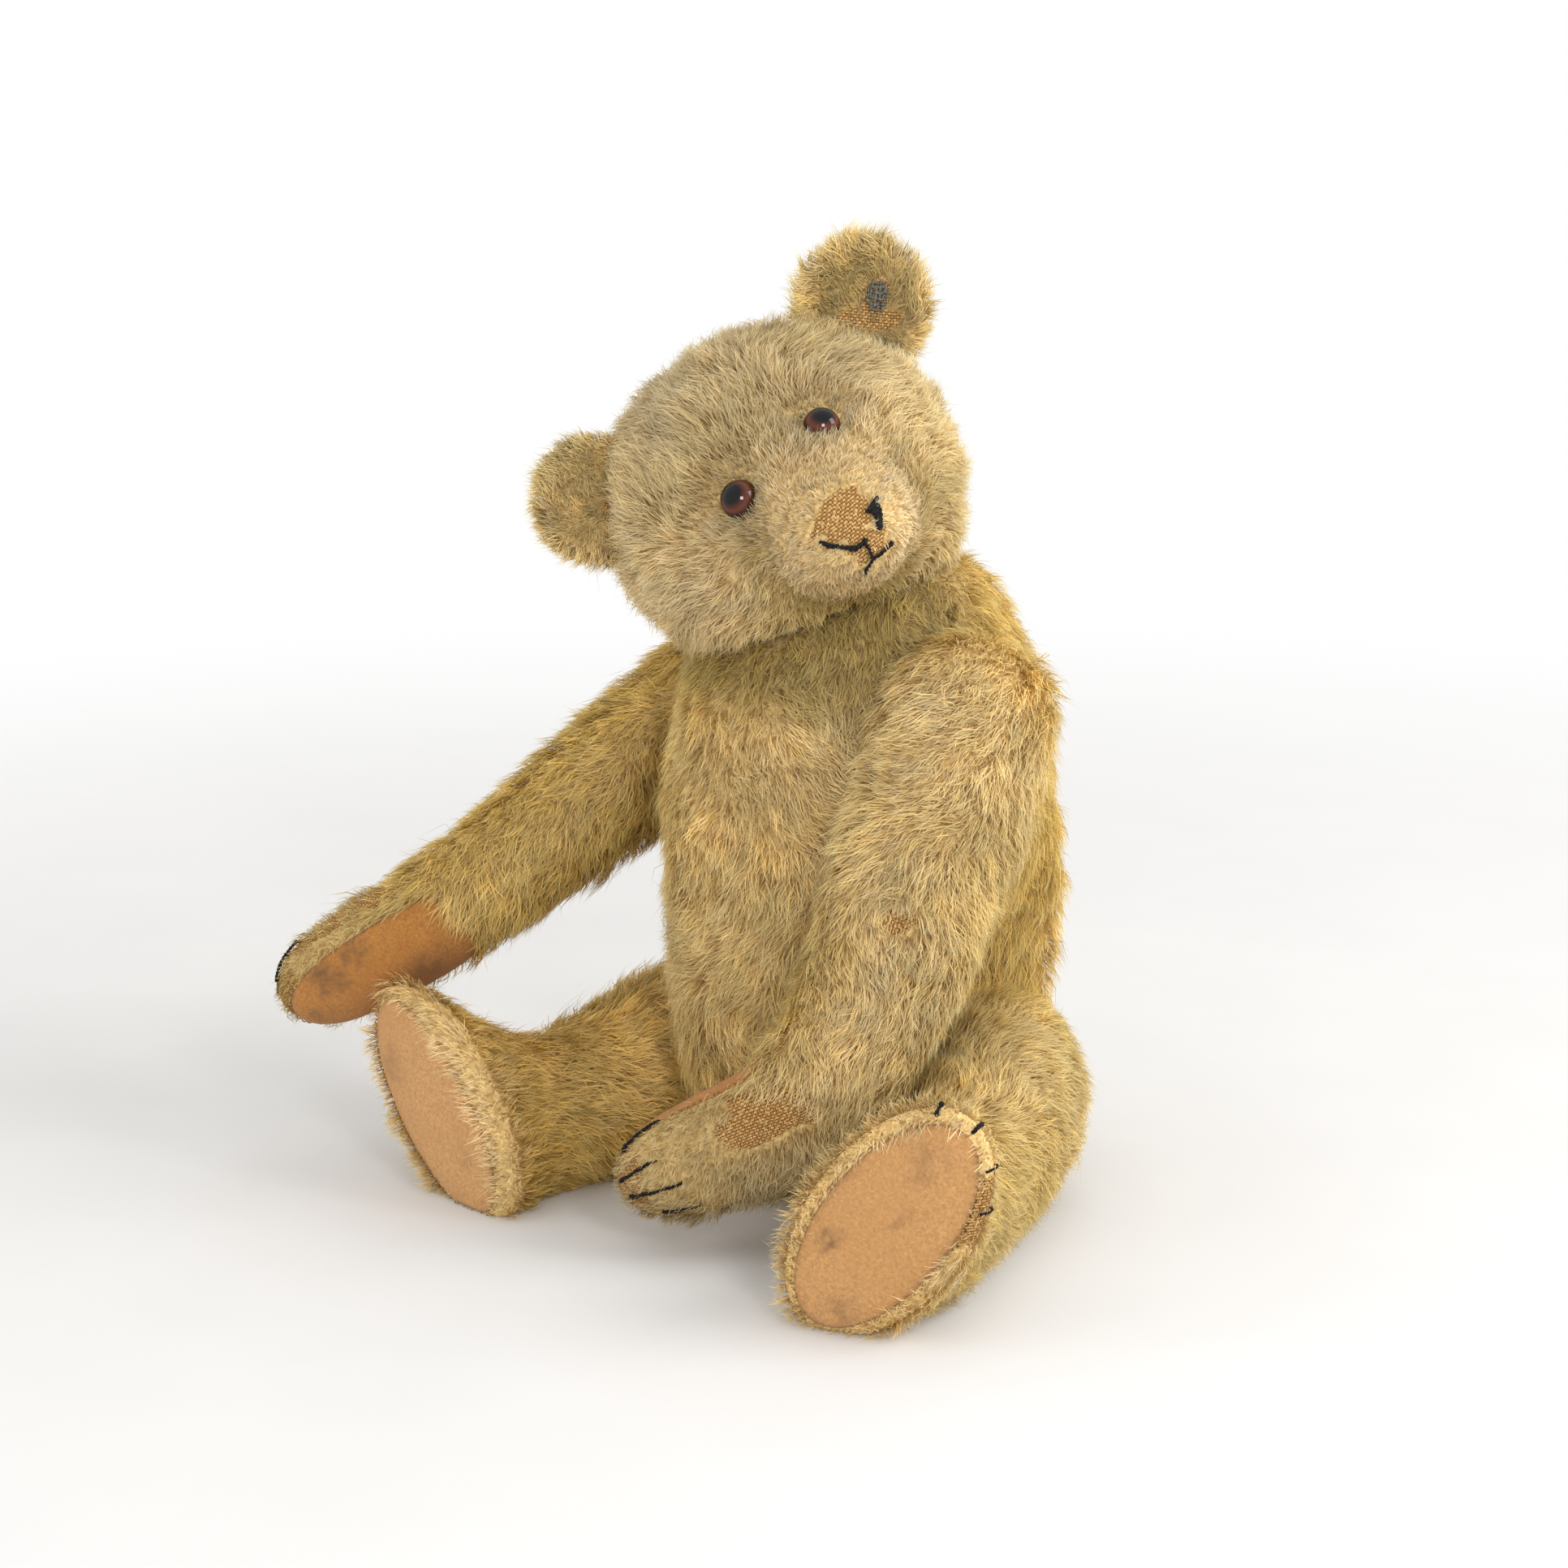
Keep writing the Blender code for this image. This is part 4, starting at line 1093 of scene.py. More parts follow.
def twisted(points, normals, lift, size, hairs):
    """A two-ply thread along points on the skin, its ends drawn in, with loose hairs."""
    heights = (-THREAD_IN, 0.3, *[lift] * len(points), 0.3, -THREAD_IN)
    at = (0, 0, *range(len(points)), -1, -1)
    line = smooth_line([points[k] + height * normals[k] for k, height in zip(at, heights)])
    out = normals.mean(0)
    tangents = unit(np.gradient(line, axis=0))
    side = unit(np.cross(tangents, out))
    up = np.cross(side, tangents)
    swell = size * (1 + 0.16 * ripple(line, 1.5, 61))[:, None]
    line = line + 0.16 * side * ripple(line, 2.2, 62)[:, None]
    parts = []
    for phase in (0, pi):
        turn = 2 * np.pi * np.arange(len(line)) * THREAD_STEP / TWIST_PITCH + phase
        offset = side * np.cos(turn)[:, None] + up * np.sin(turn)[:, None]
        parts.append(tube(line + offset * PLY_LAY * swell, PLY_RADIUS * swell[:, 0]))
    rng = np.random.default_rng(int(1000 * abs(points.sum())))
    for _ in range(hairs):
        row = rng.integers(8, len(line) - 8)
        away = side[row] * rng.choice((-1, 1)) + 0.8 * tangents[row] * rng.normal()
        away = unit(away + 0.5 * out * rng.random())
        start = line[row] + 0.3 * away
        curl = 0.35 * rng.normal(size=3)
        reach = rng.uniform(0.9, 2.2)
        hair = (start, start + 0.5 * reach * away + curl * 0.5, start + reach * away + curl)
        parts.append(tube(hair, (0.09, 0.07, 0.03), 3))
    return joined(parts)


def on_form(form, starts, aims):
    rows = [form.cast(start, aim) for start, aim in zip(starts, aims)]
    return np.array([r[0] for r in rows]), np.array([r[1] for r in rows])


def paw_claw_lines(name):
    """Places and normals along each claw sewn on a paw."""
    side, at = SIDES[name], FRAMES["shoulder_" + name]
    lines = []
    for tip, root, angle in PAW_CLAWS[name]:
        starts, aims = [], []
        for k in range(4):
            along = round(tip + (root - tip) * k / 3)
            middle, direction, across = LINES[name][along - ARM_START]
            turn = radians(angle)
            round_arm = across * cos(turn) + np.cross(across, direction) * sin(turn)
            aim = -unit(3 * round_arm + direction)
            starts.append(place(at, limb_point(side, *(middle - FROM_PAW * aim))))
            aims.append(at[:3, :3] @ limb_point(side, *aim))
        lines.append(on_form(FORMS["arm_" + name], starts, aims))
    return lines


def foot_claw_lines():
    """The same for the claws sewn on the left foot."""
    at = FRAMES["hip_left"]
    lines = []
    for angle in FOOT_CLAWS:
        up, across = cos(radians(angle)), 0.5 * sin(radians(angle))
        rise = up * cos(FOOT_TWIST) - across * sin(FOOT_TWIST)
        out = up * sin(FOOT_TWIST) + across * cos(FOOT_TWIST)
        from_middle = unit(limb_point(1, 0, rise, out))
        starts = [
            place(at, leg_middle(1, along, SOLE_RISE) + FROM_TOE * from_middle)
            for along in np.linspace(FOOT_CLAW_FROM, FOOT_CLAW_FROM - FOOT_CLAW_LENGTH, 5)
        ]
        aims = [at[:3, :3] @ -from_middle] * len(starts)
        lines.append(on_form(FORMS["leg_left"], starts, aims))
    return lines


CLAW_LINES = {"arm_" + name: paw_claw_lines(name) for name in SIDES}
CLAW_LINES["leg_left"] = foot_claw_lines()


def part_round_claws(look, limb, points):
    """Short thin pile along the claws of a limb, so that they are seen."""
    for line, _ in CLAW_LINES.get(limb, ()):
        gap = np.min([norm(points - p) for p in smooth_line(line, 1.5)], axis=0)
        look["density"] *= mix(0.42, 1.0, smooth(gap, 0.6, 2.0))
        look["length"] = np.minimum(look["length"], mix(2.1, 9.0, smooth(gap, 0.8, 4.5)))


def build_threads():
    head = FORMS["head"]
    back = -HEAD[:3, 0]

    def face(line):
        starts = [place(HEAD, (FROM_FACE, left, up)) for left, up in line]
        return on_form(head, starts, [back] * len(line))

    def sew(name, body, threads, stands_for):
        obj = make_object(name, *joined(threads), THREAD, body, "thread")
        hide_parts(stands_for)

    knot = [
        [(left + shift * share, up) for (left, up), share in zip(NOSE_LEFT, KNOT_SHARES)]
        for shift in KNOT_SHIFTS
    ]
    for name, stands_for, lines, size, hairs in (
        ("nose_thread_left_ply", "nose_thread_left", [*knot, NOSE_LEFT_ACROSS], 1.15, 10),
        ("nose_thread_right_ply", "nose_thread_right", [NOSE_RIGHT], 1.15, 10),
        ("mouth_ply", "mouth_thread", [MOUTH_LINE, LIP_LINE], 0.85, 6),
    ):
        threads = [twisted(*face(line), NOSE_LIFT, size, hairs) for line in lines]
        sew(name, "head", threads, stands_for)
    for limb, lines in CLAW_LINES.items():
        for number, line in enumerate(lines, 1):
            size = CLAW_SIZE * WORN_CLAWS.get((limb, number), 1.0)
            thread = twisted(*line, CLAW_LIFT[limb[:3]], size, CLAW_HAIRS)
            sew(f"{limb}_claw_ply_{number}", limb, [thread], f"{limb}_claw_{number}")


DARN_AT = (4.0, 1.0)  # across the ear and up it
DARN_SIZE = (3.1, 4.2)
DARN_ROWS = 6
DARN_POINTS = 13
DARN_RADIUS = 0.34
DARN_SEED = 90


def build_darn():
    """A worn hole in the left ear, darned over and under with grey thread."""
    ear, at = FORMS["ear_left"], ear_frame("left")
    parts = []
    for way, k in itertools.product((0, 1), range(DARN_ROWS)):
        row = 2 * k / (DARN_ROWS - 1) - 1
        reach = sqrt(1.15 - row * row) if abs(row) < 1 else 0.4
        reach *= 1 + 0.25 * sin(2.1 * k + way)
        line = []
        for j in range(DARN_POINTS):
            step = reach * (2 * j / (DARN_POINTS - 1) - 1)
            u, v = (step, row) if way else (row, step)
            left, up = DARN_AT[0] + u * DARN_SIZE[0], DARN_AT[1] + v * DARN_SIZE[1]
            spot, normal = ear.cast(place(at, (FROM_EAR, left, up)), -at[:3, 0])
            phase = j * (DARN_ROWS - 1) / (DARN_POINTS - 1) + k + way
            line.append(spot + (0.75 + 0.3 * cos(pi * phase)) * normal)
        line = smooth_line(line, 0.5)
        seed = DARN_SEED + 3 * k + 40 * way
        stray = np.column_stack([ripple(line, 2.6, seed + axis) for axis in range(3)])
        parts.append(tube(line + 0.35 * stray, DARN_RADIUS, 5))
    make_object("ear_left_darn", *joined(parts), DARN_THREAD, "head", "thread")


# ---- the pile
STRANDS_TO_A_LOCK = 14
FIBRE_WIDTH = 0.27
STRAYS = 0.05  # share of fibres that stand up out of their locks
ROOT_DEPTH = 0.3
TABLE_CLEARANCE = 0.4
PILE_HEIGHT = 8.5  # the most that a fibre rises from the cloth
PRESSED_WITHIN = 1.4  # of another body, the pile is pressed flat
PRESSED_SHARE = 0.18  # of the pile is drawn there
PRESSED_LENGTH = 5.0
# fibres scattered over each form, before its worn places
COUNTS = {
    "torso_front": 101000,
    "torso_back": 84000,
    "head": 66000,
    "arm": 44000,
    "leg": 46000,
    "ear": 9500,
}


def others(body):
    """One tree of all the forms that ride on other bodies."""
    points, quads, base = [], [], 0
    for name, form in FORMS.items():
        owner = "head" if name.startswith("ear") else name
        if owner != body:
            points += form.points.tolist()
            quads += (form.quads + base).tolist()
            base += len(form.points)
    return BVHTree.FromPolygons(points, quads)


def room(tree, spots, normals, aims, lengths):
    """How much of its length each lock may have before it meets another body."""
    shares = np.ones(len(spots))
    for k, (spot, normal, aim, length) in enumerate(zip(spots, normals, aims, lengths)):
        _, _, _, near = tree.find_nearest(Vector(spot), PRESSED_WITHIN)
        if near is not None:
            shares[k] = 0
            continue
        _, _, _, reach = tree.ray_cast(Vector(spot + 0.2 * normal), Vector(aim), length + 1.5)
        if reach is not None:
            shares[k] = max(0.25, (reach - 0.6) / (length + 0.9))
    return shares


def bend(flow, normal, lie):
    """Directions of the lower and the upper half of a fibre, for how flat it lies."""
    lower = unit(normal * (1.15 - 0.75 * lie) + flow * (0.25 + 0.6 * lie))
    upper = unit(normal * (0.75 - 0.75 * lie) + flow * (0.55 + 0.5 * lie))
    return lower, upper


def grow_pile(name, body, form, count, field, seed):
    """Fibres on a form.  The field gives the lie of the cloth at each place."""
    rng = np.random.default_rng(seed)
    spots, normals = form.scatter(count, rng)
    look = field(spots, normals)
    under = (spots[:, 2] < 0.8) & (normals[:, 2] < -0.6)
    kept = (rng.random(count) < look["density"]) & ~under
    spots, normals = spots[kept], normals[kept]
    look = {key: value[kept] for key, value in look.items()}
    total = len(spots)

    locks = rng.choice(total, total // STRANDS_TO_A_LOCK, replace=False)
    tree = KDTree(len(locks))
    for k, row in enumerate(locks):
        tree.insert(spots[row], k)
    tree.balance()
    lock = np.array([tree.find(spot)[1] for spot in spots])

    flow = unit(look["flow"] - (look["flow"] * normals).sum(1)[:, None] * normals)
    swirl = 0.5 * ripple(spots, 30, seed + 1) + 0.38 * ripple(spots, 12, seed + 2)
    swirl = look["swirl"] * swirl
    turn = (swirl[locks] + rng.normal(0, 0.26, len(locks)))[lock]
    flow = turned_about(flow, normals, mix(turn, swirl, 0.4) + rng.normal(0, 0.28, total))

    def varied(value, by_lock, by_fibre):
        """A value with a lock's share and a fibre's share of chance, from 0 to 1."""
        value = value + rng.normal(0, by_lock, len(locks))[lock]
        return np.clip(value + rng.normal(0, by_fibre, total), 0, 1)

    lie = varied(look["lie"], 0.09, 0.07)
    length = look["length"] * rng.uniform(0.7, 1.25, len(locks))[lock]
    length = length * rng.uniform(0.75, 1.1, total)
    length *= 1 + 0.16 * ripple(spots, 10, seed + 4)
    stray = rng.random(total) < STRAYS
    length = np.where(stray, length * 1.2, length)
    lie = np.where(stray, lie * 0.6, lie)[:, None]

    lower, upper = bend(flow, normals, lie)
    aims = unit(lower[locks] + 1.2 * upper[locks])
    shares = room(others(body), spots[locks], normals[locks], aims, length[locks])[lock]
    pressed = shares == 0
    free = ~pressed | (rng.random(total) < PRESSED_SHARE)
    length = np.where(pressed, PRESSED_LENGTH, length * shares)
    crimp = rng.normal(0, 1, (2, total, 3)) * (look["crimp"] * length)[:, None]
    crimp -= 0.6 * (crimp * normals).sum(2)[:, :, None] * normals
    middle = spots + lower * (0.5 * length)[:, None] + 0.7 * crimp[0]
    tip = middle + upper * (0.5 * length)[:, None] + crimp[1]
    above = ((tip - spots) * normals).sum(1) - PILE_HEIGHT * rng.uniform(0.8, 1.0, total)
    tip -= np.maximum(0, above)[:, None] * normals
    gather = (look["gather"] * rng.uniform(0.7, 1.15, total) * ~stray)[:, None]
    tip = mix(tip, tip[locks][lock] + rng.normal(0, 0.25, (total, 3)), gather)
    middle = mix(middle, middle[locks][lock], gather * 0.3)
    middle[pressed] = (spots + 0.5 * PRESSED_LENGTH * flow + 0.25 * normals)[pressed]
    tip[pressed] = (spots + PRESSED_LENGTH * flow + 0.1 * normals)[pressed]

    along = unit(tip - spots)
    side = unit(np.cross(along, normals))
    side = turned_about(side, along, rng.uniform(-1.0, 1.0, total))
    facing = unit(np.cross(side, along))
    width = FIBRE_WIDTH * look["width"] * rng.uniform(0.75, 1.2, total) * np.where(stray, 0.5, 1)
    half = side * width[:, None] / 2
    root = spots - ROOT_DEPTH * normals
    points = np.stack((root - half, root + half, middle - half, middle + half, tip), 1)
    lowest = TABLE_CLEARANCE + 0.3 * rng.random((total, 1))
    points[:, :, 2] = np.maximum(points[:, :, 2], lowest)

    shading = unit(0.8 * normals + 0.25 * facing + 0.08 * rng.normal(size=normals.shape))
    # look[shade] holds the fields' painted light and shade; the lock and fibre factors are chance
    shade = look["shade"] * (1 + 0.055 * ripple(spots, 12, seed + 3))
    shade = shade * rng.uniform(0.86, 1.12, len(locks))[lock] * rng.uniform(0.7, 1.25, total)
    tone = varied(look["tone"], 0.07, 0.05)
    add_fibres(name, body, points[free], shading[free], shade[free], tone[free])


def add_fibres(name, body, points, shading, shade, tone):
    """One piece of flat fibres, each of five points in a quad and a triangle."""
    total = len(points)
    mesh = bpy.data.meshes.new(name)
    mesh.vertices.add(total * 5)
    mesh.vertices.foreach_set("co", (points * MM).astype(np.float32).ravel())
    corners = np.array((0, 1, 3, 2, 2, 3, 4))[None] + 5 * np.arange(total)[:, None]
    mesh.loops.add(total * 7)
    mesh.loops.foreach_set("vertex_index", corners.ravel().astype(np.int32))
    mesh.polygons.add(total * 2)
    starts = np.array((0, 4))[None] + 7 * np.arange(total)[:, None]
    mesh.polygons.foreach_set("loop_start", starts.ravel().astype(np.int32))
    mesh.polygons.foreach_set("use_smooth", np.ones(total * 2, bool))
    mesh.update(calc_edges=True)
    up = np.tile((0.0, 0.0, 0.5, 0.5, 1.0), total)
    pile = np.column_stack((up, np.repeat(shade, 5), np.repeat(tone, 5)))
    write_attribute(mesh, "pile", pile, "FLOAT_VECTOR")
    cells = ceil(sqrt(total))
    cell = np.column_stack((np.arange(total) % cells, np.arange(total) // cells))
    inside = np.array(((0.12, 0.08), (0.88, 0.08), (0.12, 0.5), (0.88, 0.5), (0.5, 0.94)))
    write_uv(mesh, "OFBake", ((cell[:, None] + inside[None]) / cells).reshape(-1, 2))
    mesh.materials.append(PILE)
    mesh.normals_split_custom_set_from_vertices(np.repeat(shading, 5, axis=0).tolist())
    add_piece(name, mesh, body, "mohair")


def lie_of_cloth(count, flow, **given):
    """The pile at each place: the usual, or what a field gives instead.

    Length is in millimetres; lie is 0 for upright pile and 1 for flat; tone is 0 for cream
    and 1 for gold; shade, density, width and swirl are shares of the plain pile's.
    """
    usual = {"density": 1.0, "gather": 0.38, "crimp": 0.16, "swirl": 1.0, "bare": 0.0, "width": 1.0}
    look = {}
    for key, value in {**usual, **given}.items():
        look[key] = np.broadcast_to(np.asarray(value, float), (count,)).copy()
    look["flow"] = np.broadcast_to(flow, (count, 3)).copy()
    return look


ELSEWHERE = 99  # a coordinate that keeps what isn't on a face out of its worn places


def thin(look, points, middle, radius, density, length=None):
    """A worn place: less pile inside a ragged round."""
    gap = norm((points - middle) / radius) + 0.22 * ripple(points, 3.5, 77)
    worn = 1 - smooth(gap, 0.75, 1.15)
    look["density"] = mix(look["density"], np.minimum(look["density"], density), worn)
    look["bare"] = np.maximum(look["bare"], worn)
    if length:
        look["length"] = mix(look["length"], np.minimum(look["length"], length), worn)


def torso_field(points, normals):
    down = np.zeros_like(points)
    down[:, 2] = -1
    down[:, 0] += 0.25 * np.sign(points[:, 0]) * smooth(np.abs(points[:, 0]), 4, 30)
    height = points[:, 2]
    # under the chin at the front the pile is darker and more golden: painted shade in the crease
    # below the head
    neck = smooth(height, 146, 166) * (1 - smooth(points[:, 1], -5, 25))
    tone = 0.55 + 0.12 * smooth(points[:, 0], 0, 45) + 0.2 * smooth(points[:, 1], -10, 40)
    return lie_of_cloth(
        len(points),
        flow=down,
        length=mix(11.5, 9.0, smooth(height, 40, 150)),
        tone=tone + 0.6 * neck + 0.15 * ripple(points, 45, 21),
        shade=mix(1.15 - 0.09 * smooth(height, 35, 75), 0.66, neck),
        lie=0.74 + 0.08 * ripple(points, 26, 22),
    )


def head_field(points, normals):
    spots = local(HEAD, points)
    forward, left, up = spots.T
    nose = place(HEAD, NOSE_AT)
    away = unit(points - nose)
    distance = norm(points - nose)
    down = -HEAD[:3, 2]
    back = 1 - smooth(forward, -30, 8)
    tone = 0.16 + 0.26 * smooth(left, 15, 50) + 0.18 * smooth(-up, -30, 5)
    look = lie_of_cloth(
        len(points),
        flow=unit(away * (1 - back)[:, None] + down * back[:, None]),
        length=mix(3.2, 9.0, smooth(distance, 14, 62)),
        lie=mix(0.8, 0.62, smooth(distance, 15, 60)) + 0.06 * ripple(points, 20, 31),
        tone=tone + 0.12 * ripple(points, 30, 32),
        # painted light and shade: darker over the top of the head, lighter on its right cheek
        shade=0.98 - 0.06 * smooth(up, 42, 62) + 0.08 * smooth(-left, 12, 38),
        gather=mix(0.15, 0.32, smooth(distance, 15, 50)),
    )
    for middle in EYE_BALLS:
        gap = norm(points - middle)
        look["density"] *= smooth(gap, EYE_ROUND - 0.2, EYE_ROUND + 0.2)
        look["length"] = np.minimum(look["length"], mix(2.8, 9.0, smooth(gap, 6, 16)))
        look["lie"] = np.minimum(look["lie"], mix(0.35, 1.0, smooth(gap, 6, 8)))
        # painted shade round each sunk eye
        look["shade"] *= mix(0.58, 1.0, smooth(gap, 5.5, 14))
    hollow = beside_muzzle(spots)
    # painted shade in the hollow round the foot of the muzzle: darker, more golden pile
    look["shade"] *= 1 - 0.26 * hollow
    look["tone"] += 0.5 * hollow
    # paler round the muzzle: partly its paler fur, partly painted light on the raised muzzle
    look["shade"] *= mix(1.08, 1.0, smooth(distance, 30, 45))
    look["tone"] -= 0.3 * (1 - smooth(distance, 25, 45))
    face = np.column_stack((np.where(forward > 35, 0, ELSEWHERE), left, up))
    thin(look, face, (0, -2.2, 25.0), (30, 8.6, 9.0), 0.0)
    thin(look, face, (0, -0.5, 14.5), (30, 6.0, 5.0), 0.03, 2.0)
    return look


def ear_field(name):
    at = ear_frame(name)
    # the front of each ear is darker inside its rim: partly the matted brown of its worn pile,
    # partly painted shade in its cup
    inner_tone, inner_shade, worn_low = {
        "left": (0.95, 0.62, (0, 2, -6)),
        "right": (0.7, 0.9, (0, 0, -9)),
    }[name]

    def field(points, normals):
        x, y, z = local(at, points).T
        facing = normals @ at[:3, 0]
        front = smooth(facing, -0.1, 0.5)
        rim = smooth(np.hypot(y, z + 2), 12, 18)
        inner = front * (1 - rim)
        look = lie_of_cloth(
            len(points),
            flow=unit(np.column_stack((0 * x, y, z + 14))) @ at[:3, :3].T,
            length=mix(mix(7.0, 3.8, front), 6.6, rim),
            lie=mix(0.7, 0.45, rim),
            tone=mix(0.5, inner_tone, inner),
            shade=mix(1.08, inner_shade, inner) * (1 + 0.12 * ripple(points, 5, 47)),
            bare=0.3 * inner,
            swirl=mix(1.0, 2.6, front),
            density=mix(1.0, 0.62, inner),
            gather=mix(0.3, 0.4, rim),
            crimp=mix(0.22, 0.16, rim),
        )
        spots = np.column_stack((np.where(facing > 0.2, 0, ELSEWHERE), y, z))
        thin(look, spots, worn_low, (30, 9, 4.5), 0.25, 2.2)
        if name == "left":
            thin(look, spots, (0, *DARN_AT), (30, 3.8, 4.2), 0.05, 2.0)
        return look

    return field


# worn places of an arm: middle along and round it, radii, density and length
WORN_TIP = ((182, 0, 0), (9, 90, 9), 0.4, 3.2)
WORN_ARMS = {
    "left": (
        ((131, 11, 0), (17, 8.5, 9), 0.02, 3.5),
        ((62, 9, 0), (4.5, 4.5, 9), 0.2, 3.5),
        WORN_TIP,
    ),
    "right": (
        ((66, 25, 0), (5.5, 4.5, 9), 0.25, 3.5),
        ((152, 24, 0), (26, 7, 9), 0.45, 3.2),
        WORN_TIP,
    ),
}


def arm_field(name):
    side = SIDES[name]
    # the right arm is more golden and lighter: painted light standing for light through its fur on
    # the shaded side
    arm_tone, upper_shade = {"left": (0.55, 1.0), "right": (1.0, 1.05)}[name]

    def field(points, normals):
        along, angle, flow = along_arm(name, points)
        # painted light on the top of each shoulder
        upper = mix(1.08, upper_shade, smooth(along, 8, 38))
        lower = mix(1.02, 0.86, smooth(along, 128, 150))
        tone = arm_tone + 0.16 * ripple(points, 40, 43 + side)
        wrist = smooth(along, 125, 150)
        look = lie_of_cloth(
            len(points),
            flow=flow + np.array((0, 0, -0.35)),
            length=mix(10.5, 5.0, smooth(along, 128, 152)),
            lie=mix(0.74, 0.6, smooth(along, 140, 160)) + 0.07 * ripple(points, 24, 41 + side),
            tone=tone - 0.25 * smooth(along, 110, 150),
            shade=mix(upper, lower, smooth(along, 75, 115)),
            density=mix(1.0, 0.62, smooth(along, 138, 160)),
            gather=0.32,
            crimp=mix(0.16, 0.3, wrist),
            width=mix(1.0, 0.8, wrist),
            swirl=mix(0.9, 1.7, smooth(along, 130, 155)),
        )
        look["density"] *= 1 - smooth(inside_paw_pad(name, points), -0.04, 0.02)
        sheet = np.column_stack((along, ARM_ROUND * angle, np.zeros(len(along))))
        for worn in WORN_ARMS[name]:
            thin(look, sheet, *worn)
        part_round_claws(look, "arm_" + name, points)
        return look

    return field


def leg_field(name):
    side = SIDES[name]
    # the right leg is more golden and lighter: painted light standing for light through its fur on
    # the shaded side; the left leg is a touch darker
    leg_tone, leg_shade = {"left": (0.66, 0.98), "right": (1.0, 1.2)}[name]

    def field(points, normals):
        along = limb_coordinates("hip_" + name, side, points)[:, 0]
        rim = smooth(along, 106, 112)
        back = -FRAMES["hip_" + name][:3, 0] * (1 - 1.7 * rim)[:, None]
        down = np.array((0, 0, -0.55)) * (1 - smooth(along, 70, 100))[:, None]
        tone = leg_tone + 0.18 * ripple(points, 42, 53 + side)
        look = lie_of_cloth(
            len(points),
            flow=back + down,
            length=mix(9.5, 6.2, smooth(along, 92, 110)),
            lie=mix(0.74, 0.4, rim) + 0.06 * ripple(points, 24, 51 + side),
            tone=tone + 0.15 * smooth(-along, -10, 25) - 0.8 * rim,
            shade=mix(leg_shade, 1.26, rim),
            gather=mix(0.32, 0.1, rim),
            width=mix(1.0, 0.8, rim),
        )
        look["density"] *= 1 - smooth(inside_foot_pad(name, points), -0.03, 0.015)
        if name == "left":
            thin(look, local(FOOT_FRAMES["left"], points), (20, -14, 0), (18, 7, 14), 0.5, 3.4)
        part_round_claws(look, "leg_" + name, points)
        return look

    return field


def torso_half(front):
    """The torso's field, with no pile on the other half."""

    def field(points, normals):
        look = torso_field(points, normals)
        look["density"] *= (points[:, 1] < 2) == front
        return look

    return field


def build_pile():
    def grow(name, body, part, kind, field, seed):
        count = int(COUNTS[kind] * (1))
        grow_pile(name, body, FORMS[part], count, field, SEED + seed)

    grow("torso_pile_front", "torso", "torso", "torso_front", torso_half(True), 10)
    grow("torso_pile_back", "torso", "torso", "torso_back", torso_half(False), 11)
    grow("head_pile", "head", "head", "head", head_field, 12)
    for number, name in enumerate(SIDES):
        for kind, field, seed in (
            ("arm", arm_field, 20 + 3 * number),
            ("leg", leg_field, 20 + 3 * number),
            ("ear", ear_field, 40 + number),
        ):
            part = f"{kind}_{name}"
            body = "head" if kind == "ear" else part
            grow(part + "_pile", body, part, kind, field(name), seed)


# ---- floor, light and camera
CAMERA_AT = (46.4, 13.2)
CAMERA_AIM = Vector((-0.0348, 0.0, 0.1152))
CAMERA_DISTANCE = 1.150
FIELD_OF_VIEW = 23.73
LIGHT_AIM = Vector((0, 0, 0.1))
# azimuth, elevation, distance, size and power; then whether gloss shows it and it lights
LIGHTS = {
    "right": (121, 35, 1.4, 0.65, 9.2, True, True),
    "over": (200, 70, 1.4, 0.9, 1.8, False, True),
    "low_front": (30, 5, 1.5, 0.9, 3.2, False, True),
    "low_left": (-25, 8, 1.5, 0.9, 6.0, False, True),
    "low_right": (105, 10, 1.5, 0.9, 6.4, False, True),
    "window": (62, 26, 1.3, 0.22, 3.6, False, True),
    "glint": (54, 22, 1.3, 0.36, 9.0, True, False),
}
WHITE = (1.0, 1.0, 1.0, 1.0)
AMBIENT_COLOUR = (1.0, 0.985, 0.96, 1.0)
AMBIENT = 0.87
FLOOR_RADIUS = 6
FLOOR_FADE = (0.25, 0.95)  # from paper to white, in metres from the middle
FLOOR_PAPER = ((0.692, 0.690, 0.688), (0.712, 0.710, 0.708))


def look_from(azimuth, elevation):
    """Direction from the bear to a viewer; 0 is in front of it and 90 on its left."""
    azimuth, elevation = radians(azimuth), radians(elevation)
    level = cos(elevation)
    return Vector((sin(azimuth) * level, -cos(azimuth) * level, sin(elevation)))


def add_looking(name, data, aim, distance, azimuth, elevation):
    """A camera or a lamp that looks at a point from a distance."""
    obj = link_object(name, data)
    direction = look_from(azimuth, elevation)
    obj.location = aim + distance * direction
    obj.rotation_euler = direction.to_track_quat("Z", "Y").to_euler()
    return obj


def add_camera():
    data = bpy.data.cameras.new("camera")
    data.angle = radians(FIELD_OF_VIEW)
    data.clip_end = 50
    camera = add_looking("camera", data, CAMERA_AIM, CAMERA_DISTANCE, *CAMERA_AT)
    bpy.context.scene.camera = camera


def add_lights():
    for name, (azimuth, elevation, distance, size, power, glossy, diffuse) in LIGHTS.items():
        data = bpy.data.lights.new(name, "AREA")
        data.size = size
        data.energy = power
        lamp = add_looking(name, data, LIGHT_AIM, distance, azimuth, elevation)
        lamp.visible_glossy = glossy
        lamp.visible_diffuse = diffuse


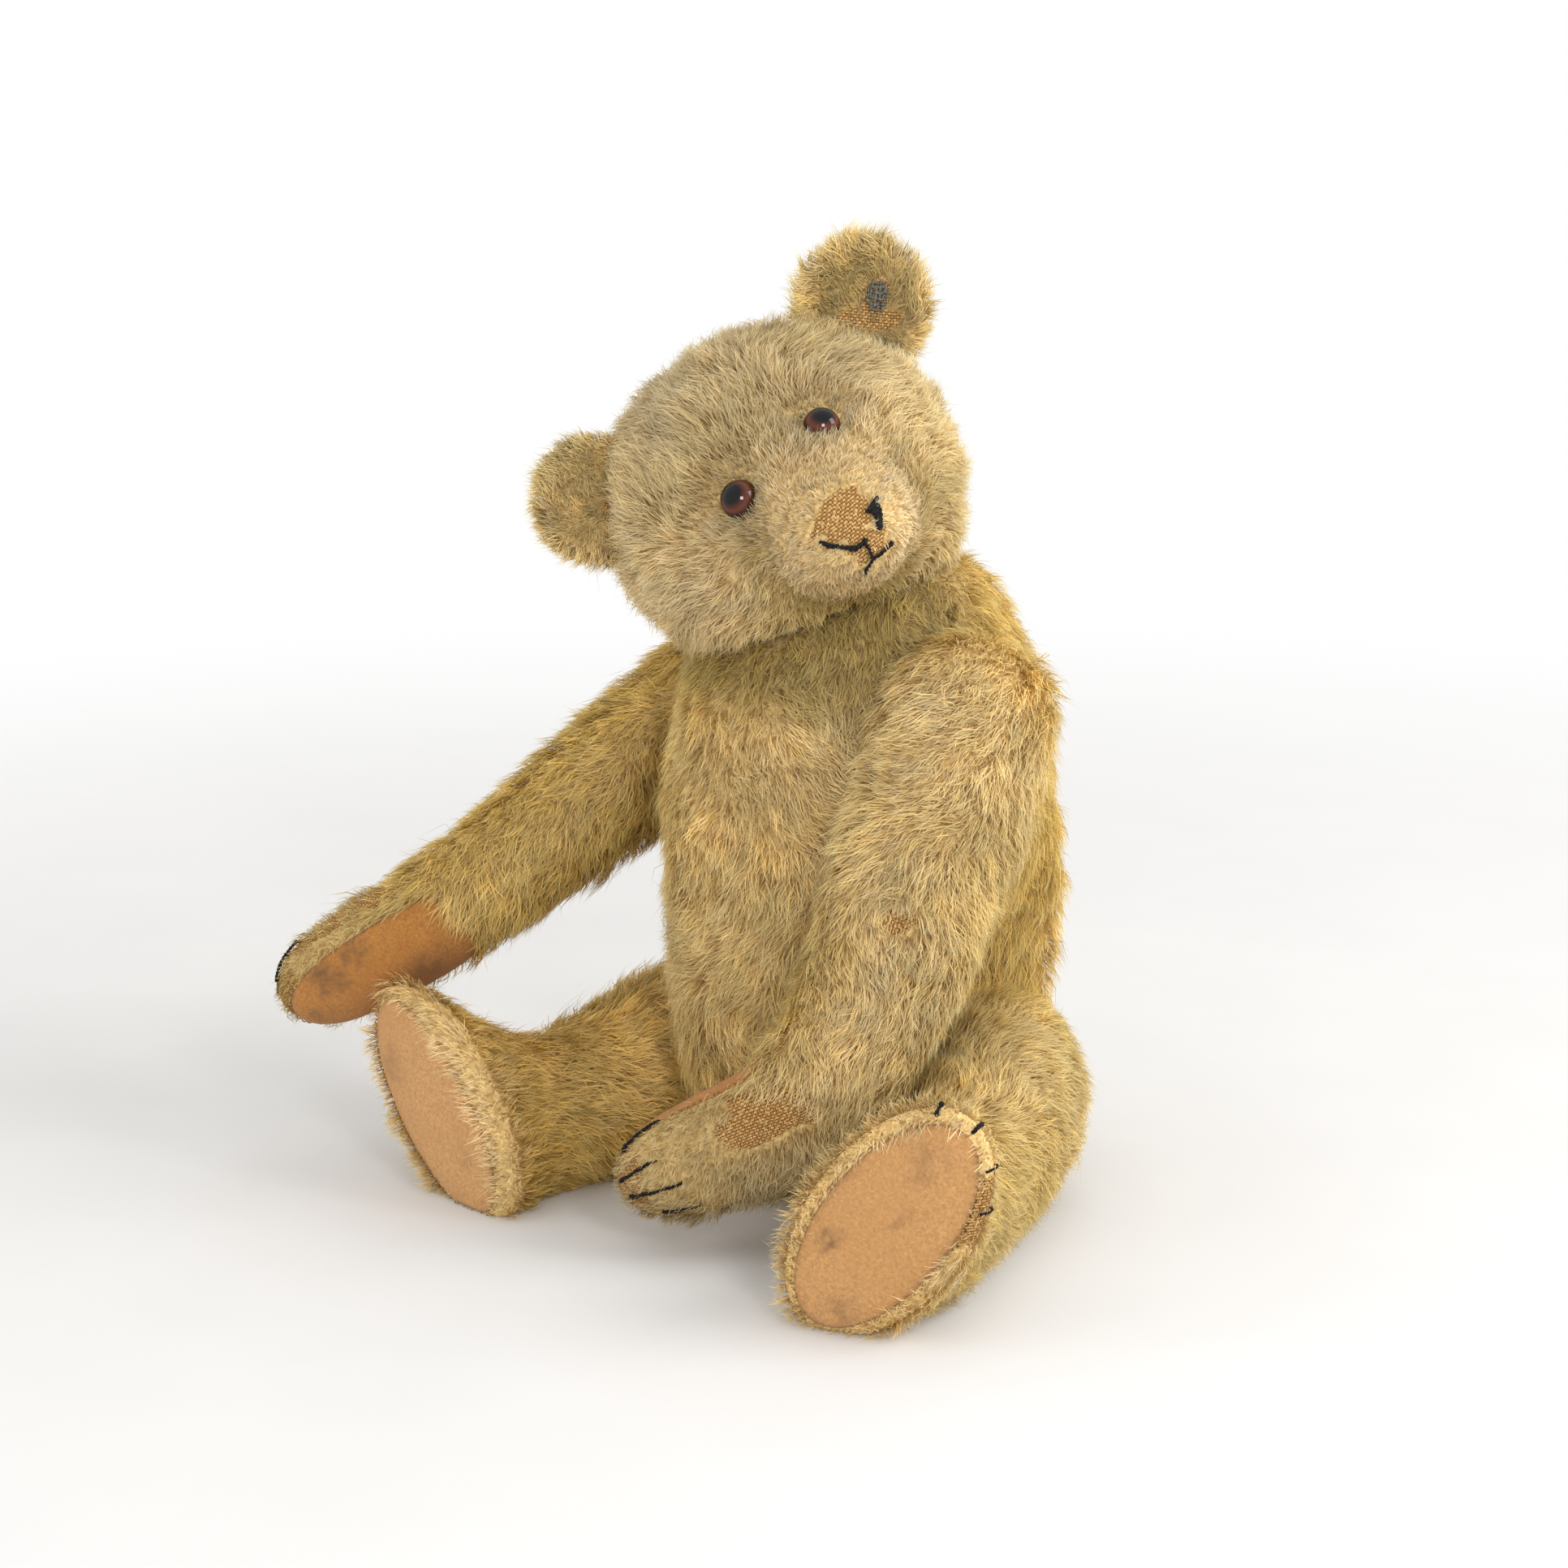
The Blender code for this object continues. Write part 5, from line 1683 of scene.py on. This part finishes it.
def add_floor():
    bm = bmesh.new()
    bmesh.ops.create_circle(bm, cap_ends=True, segments=96, radius=FLOOR_RADIUS)
    mesh = bpy.data.meshes.new("floor")
    bm.to_mesh(mesh)
    bm.free()
    g = Graph("floor_paper")
    x, y, _ = g.split(g.place())
    far = g.math("SQRT", g.plus(g.times(x, x), g.times(y, y)))
    near, away = FLOOR_FADE
    fade = g.node("MapRange", {0: far, 1: near, 2: away}, interpolation_type="SMOOTHSTEP")
    white = g.node("Emission", {"Color": WHITE, "Strength": 1.0}).outputs[0]
    g.mixed_surface(g.times(fade.outputs[0], g.seen()), g.shader.outputs[0], white)
    paper = g.mix(g.span(g.noise(14.0, 3.0), 0.3, 0.7), *FLOOR_PAPER)
    mesh.materials.append(g.finish(paper, Roughness=0.9, Specular_IOR_Level=0.1))
    link_object("floor", mesh)


def add_world():
    """Soft light from all round, which shows as plain white."""
    bpy.context.scene.world = bpy.data.worlds.new("studio")
    g = Graph(bpy.context.scene.world)
    g.tree.nodes.remove(g.tree.nodes["Background"])
    ambient, white = (
        g.node("Background", {0: colour, 1: strength}).outputs[0]
        for colour, strength in ((AMBIENT_COLOUR, AMBIENT), (WHITE, 1.0))
    )
    g.mixed_surface(g.seen(), ambient, white)


def finish_inner_nodes():
    """Procedural finishes for the CAD nodes that stay."""
    straw, board = (rgb(206, 178, 122), rgb(120, 92, 52)), (rgb(142, 104, 70), rgb(92, 64, 42))
    steel = {"scale": 320.0, "roughness": 0.45, "metallic": 1.0, "streak": 0.3, "bump": 0.05}
    washer, pin = (rgb(176, 172, 164), rgb(112, 98, 84)), (rgb(168, 164, 156), rgb(104, 84, 66))
    looks = {
        "stuffing": inner_material("wood_wool", *straw, 130.0, 0.9, streak=0.2, bump=0.8),
        "_disc_": inner_material("hardboard", *board, 240.0, 0.85),
        "_washer_": inner_material("steel_washer", *washer, **steel),
        "_pin": inner_material("steel_pin", *pin, **steel),
    }
    for name, node in frame["nodes"].items():
        for part, look in looks.items():
            if part in name:
                node.data.materials.clear()
                node.data.materials.append(look)


build_pelts()
build_pads()
build_eyes()
build_threads()
build_darn()
build_pile()
finish_inner_nodes()
add_floor()
add_world()
add_camera()
add_lights()
bpy.context.scene.view_settings.view_transform = "Standard"
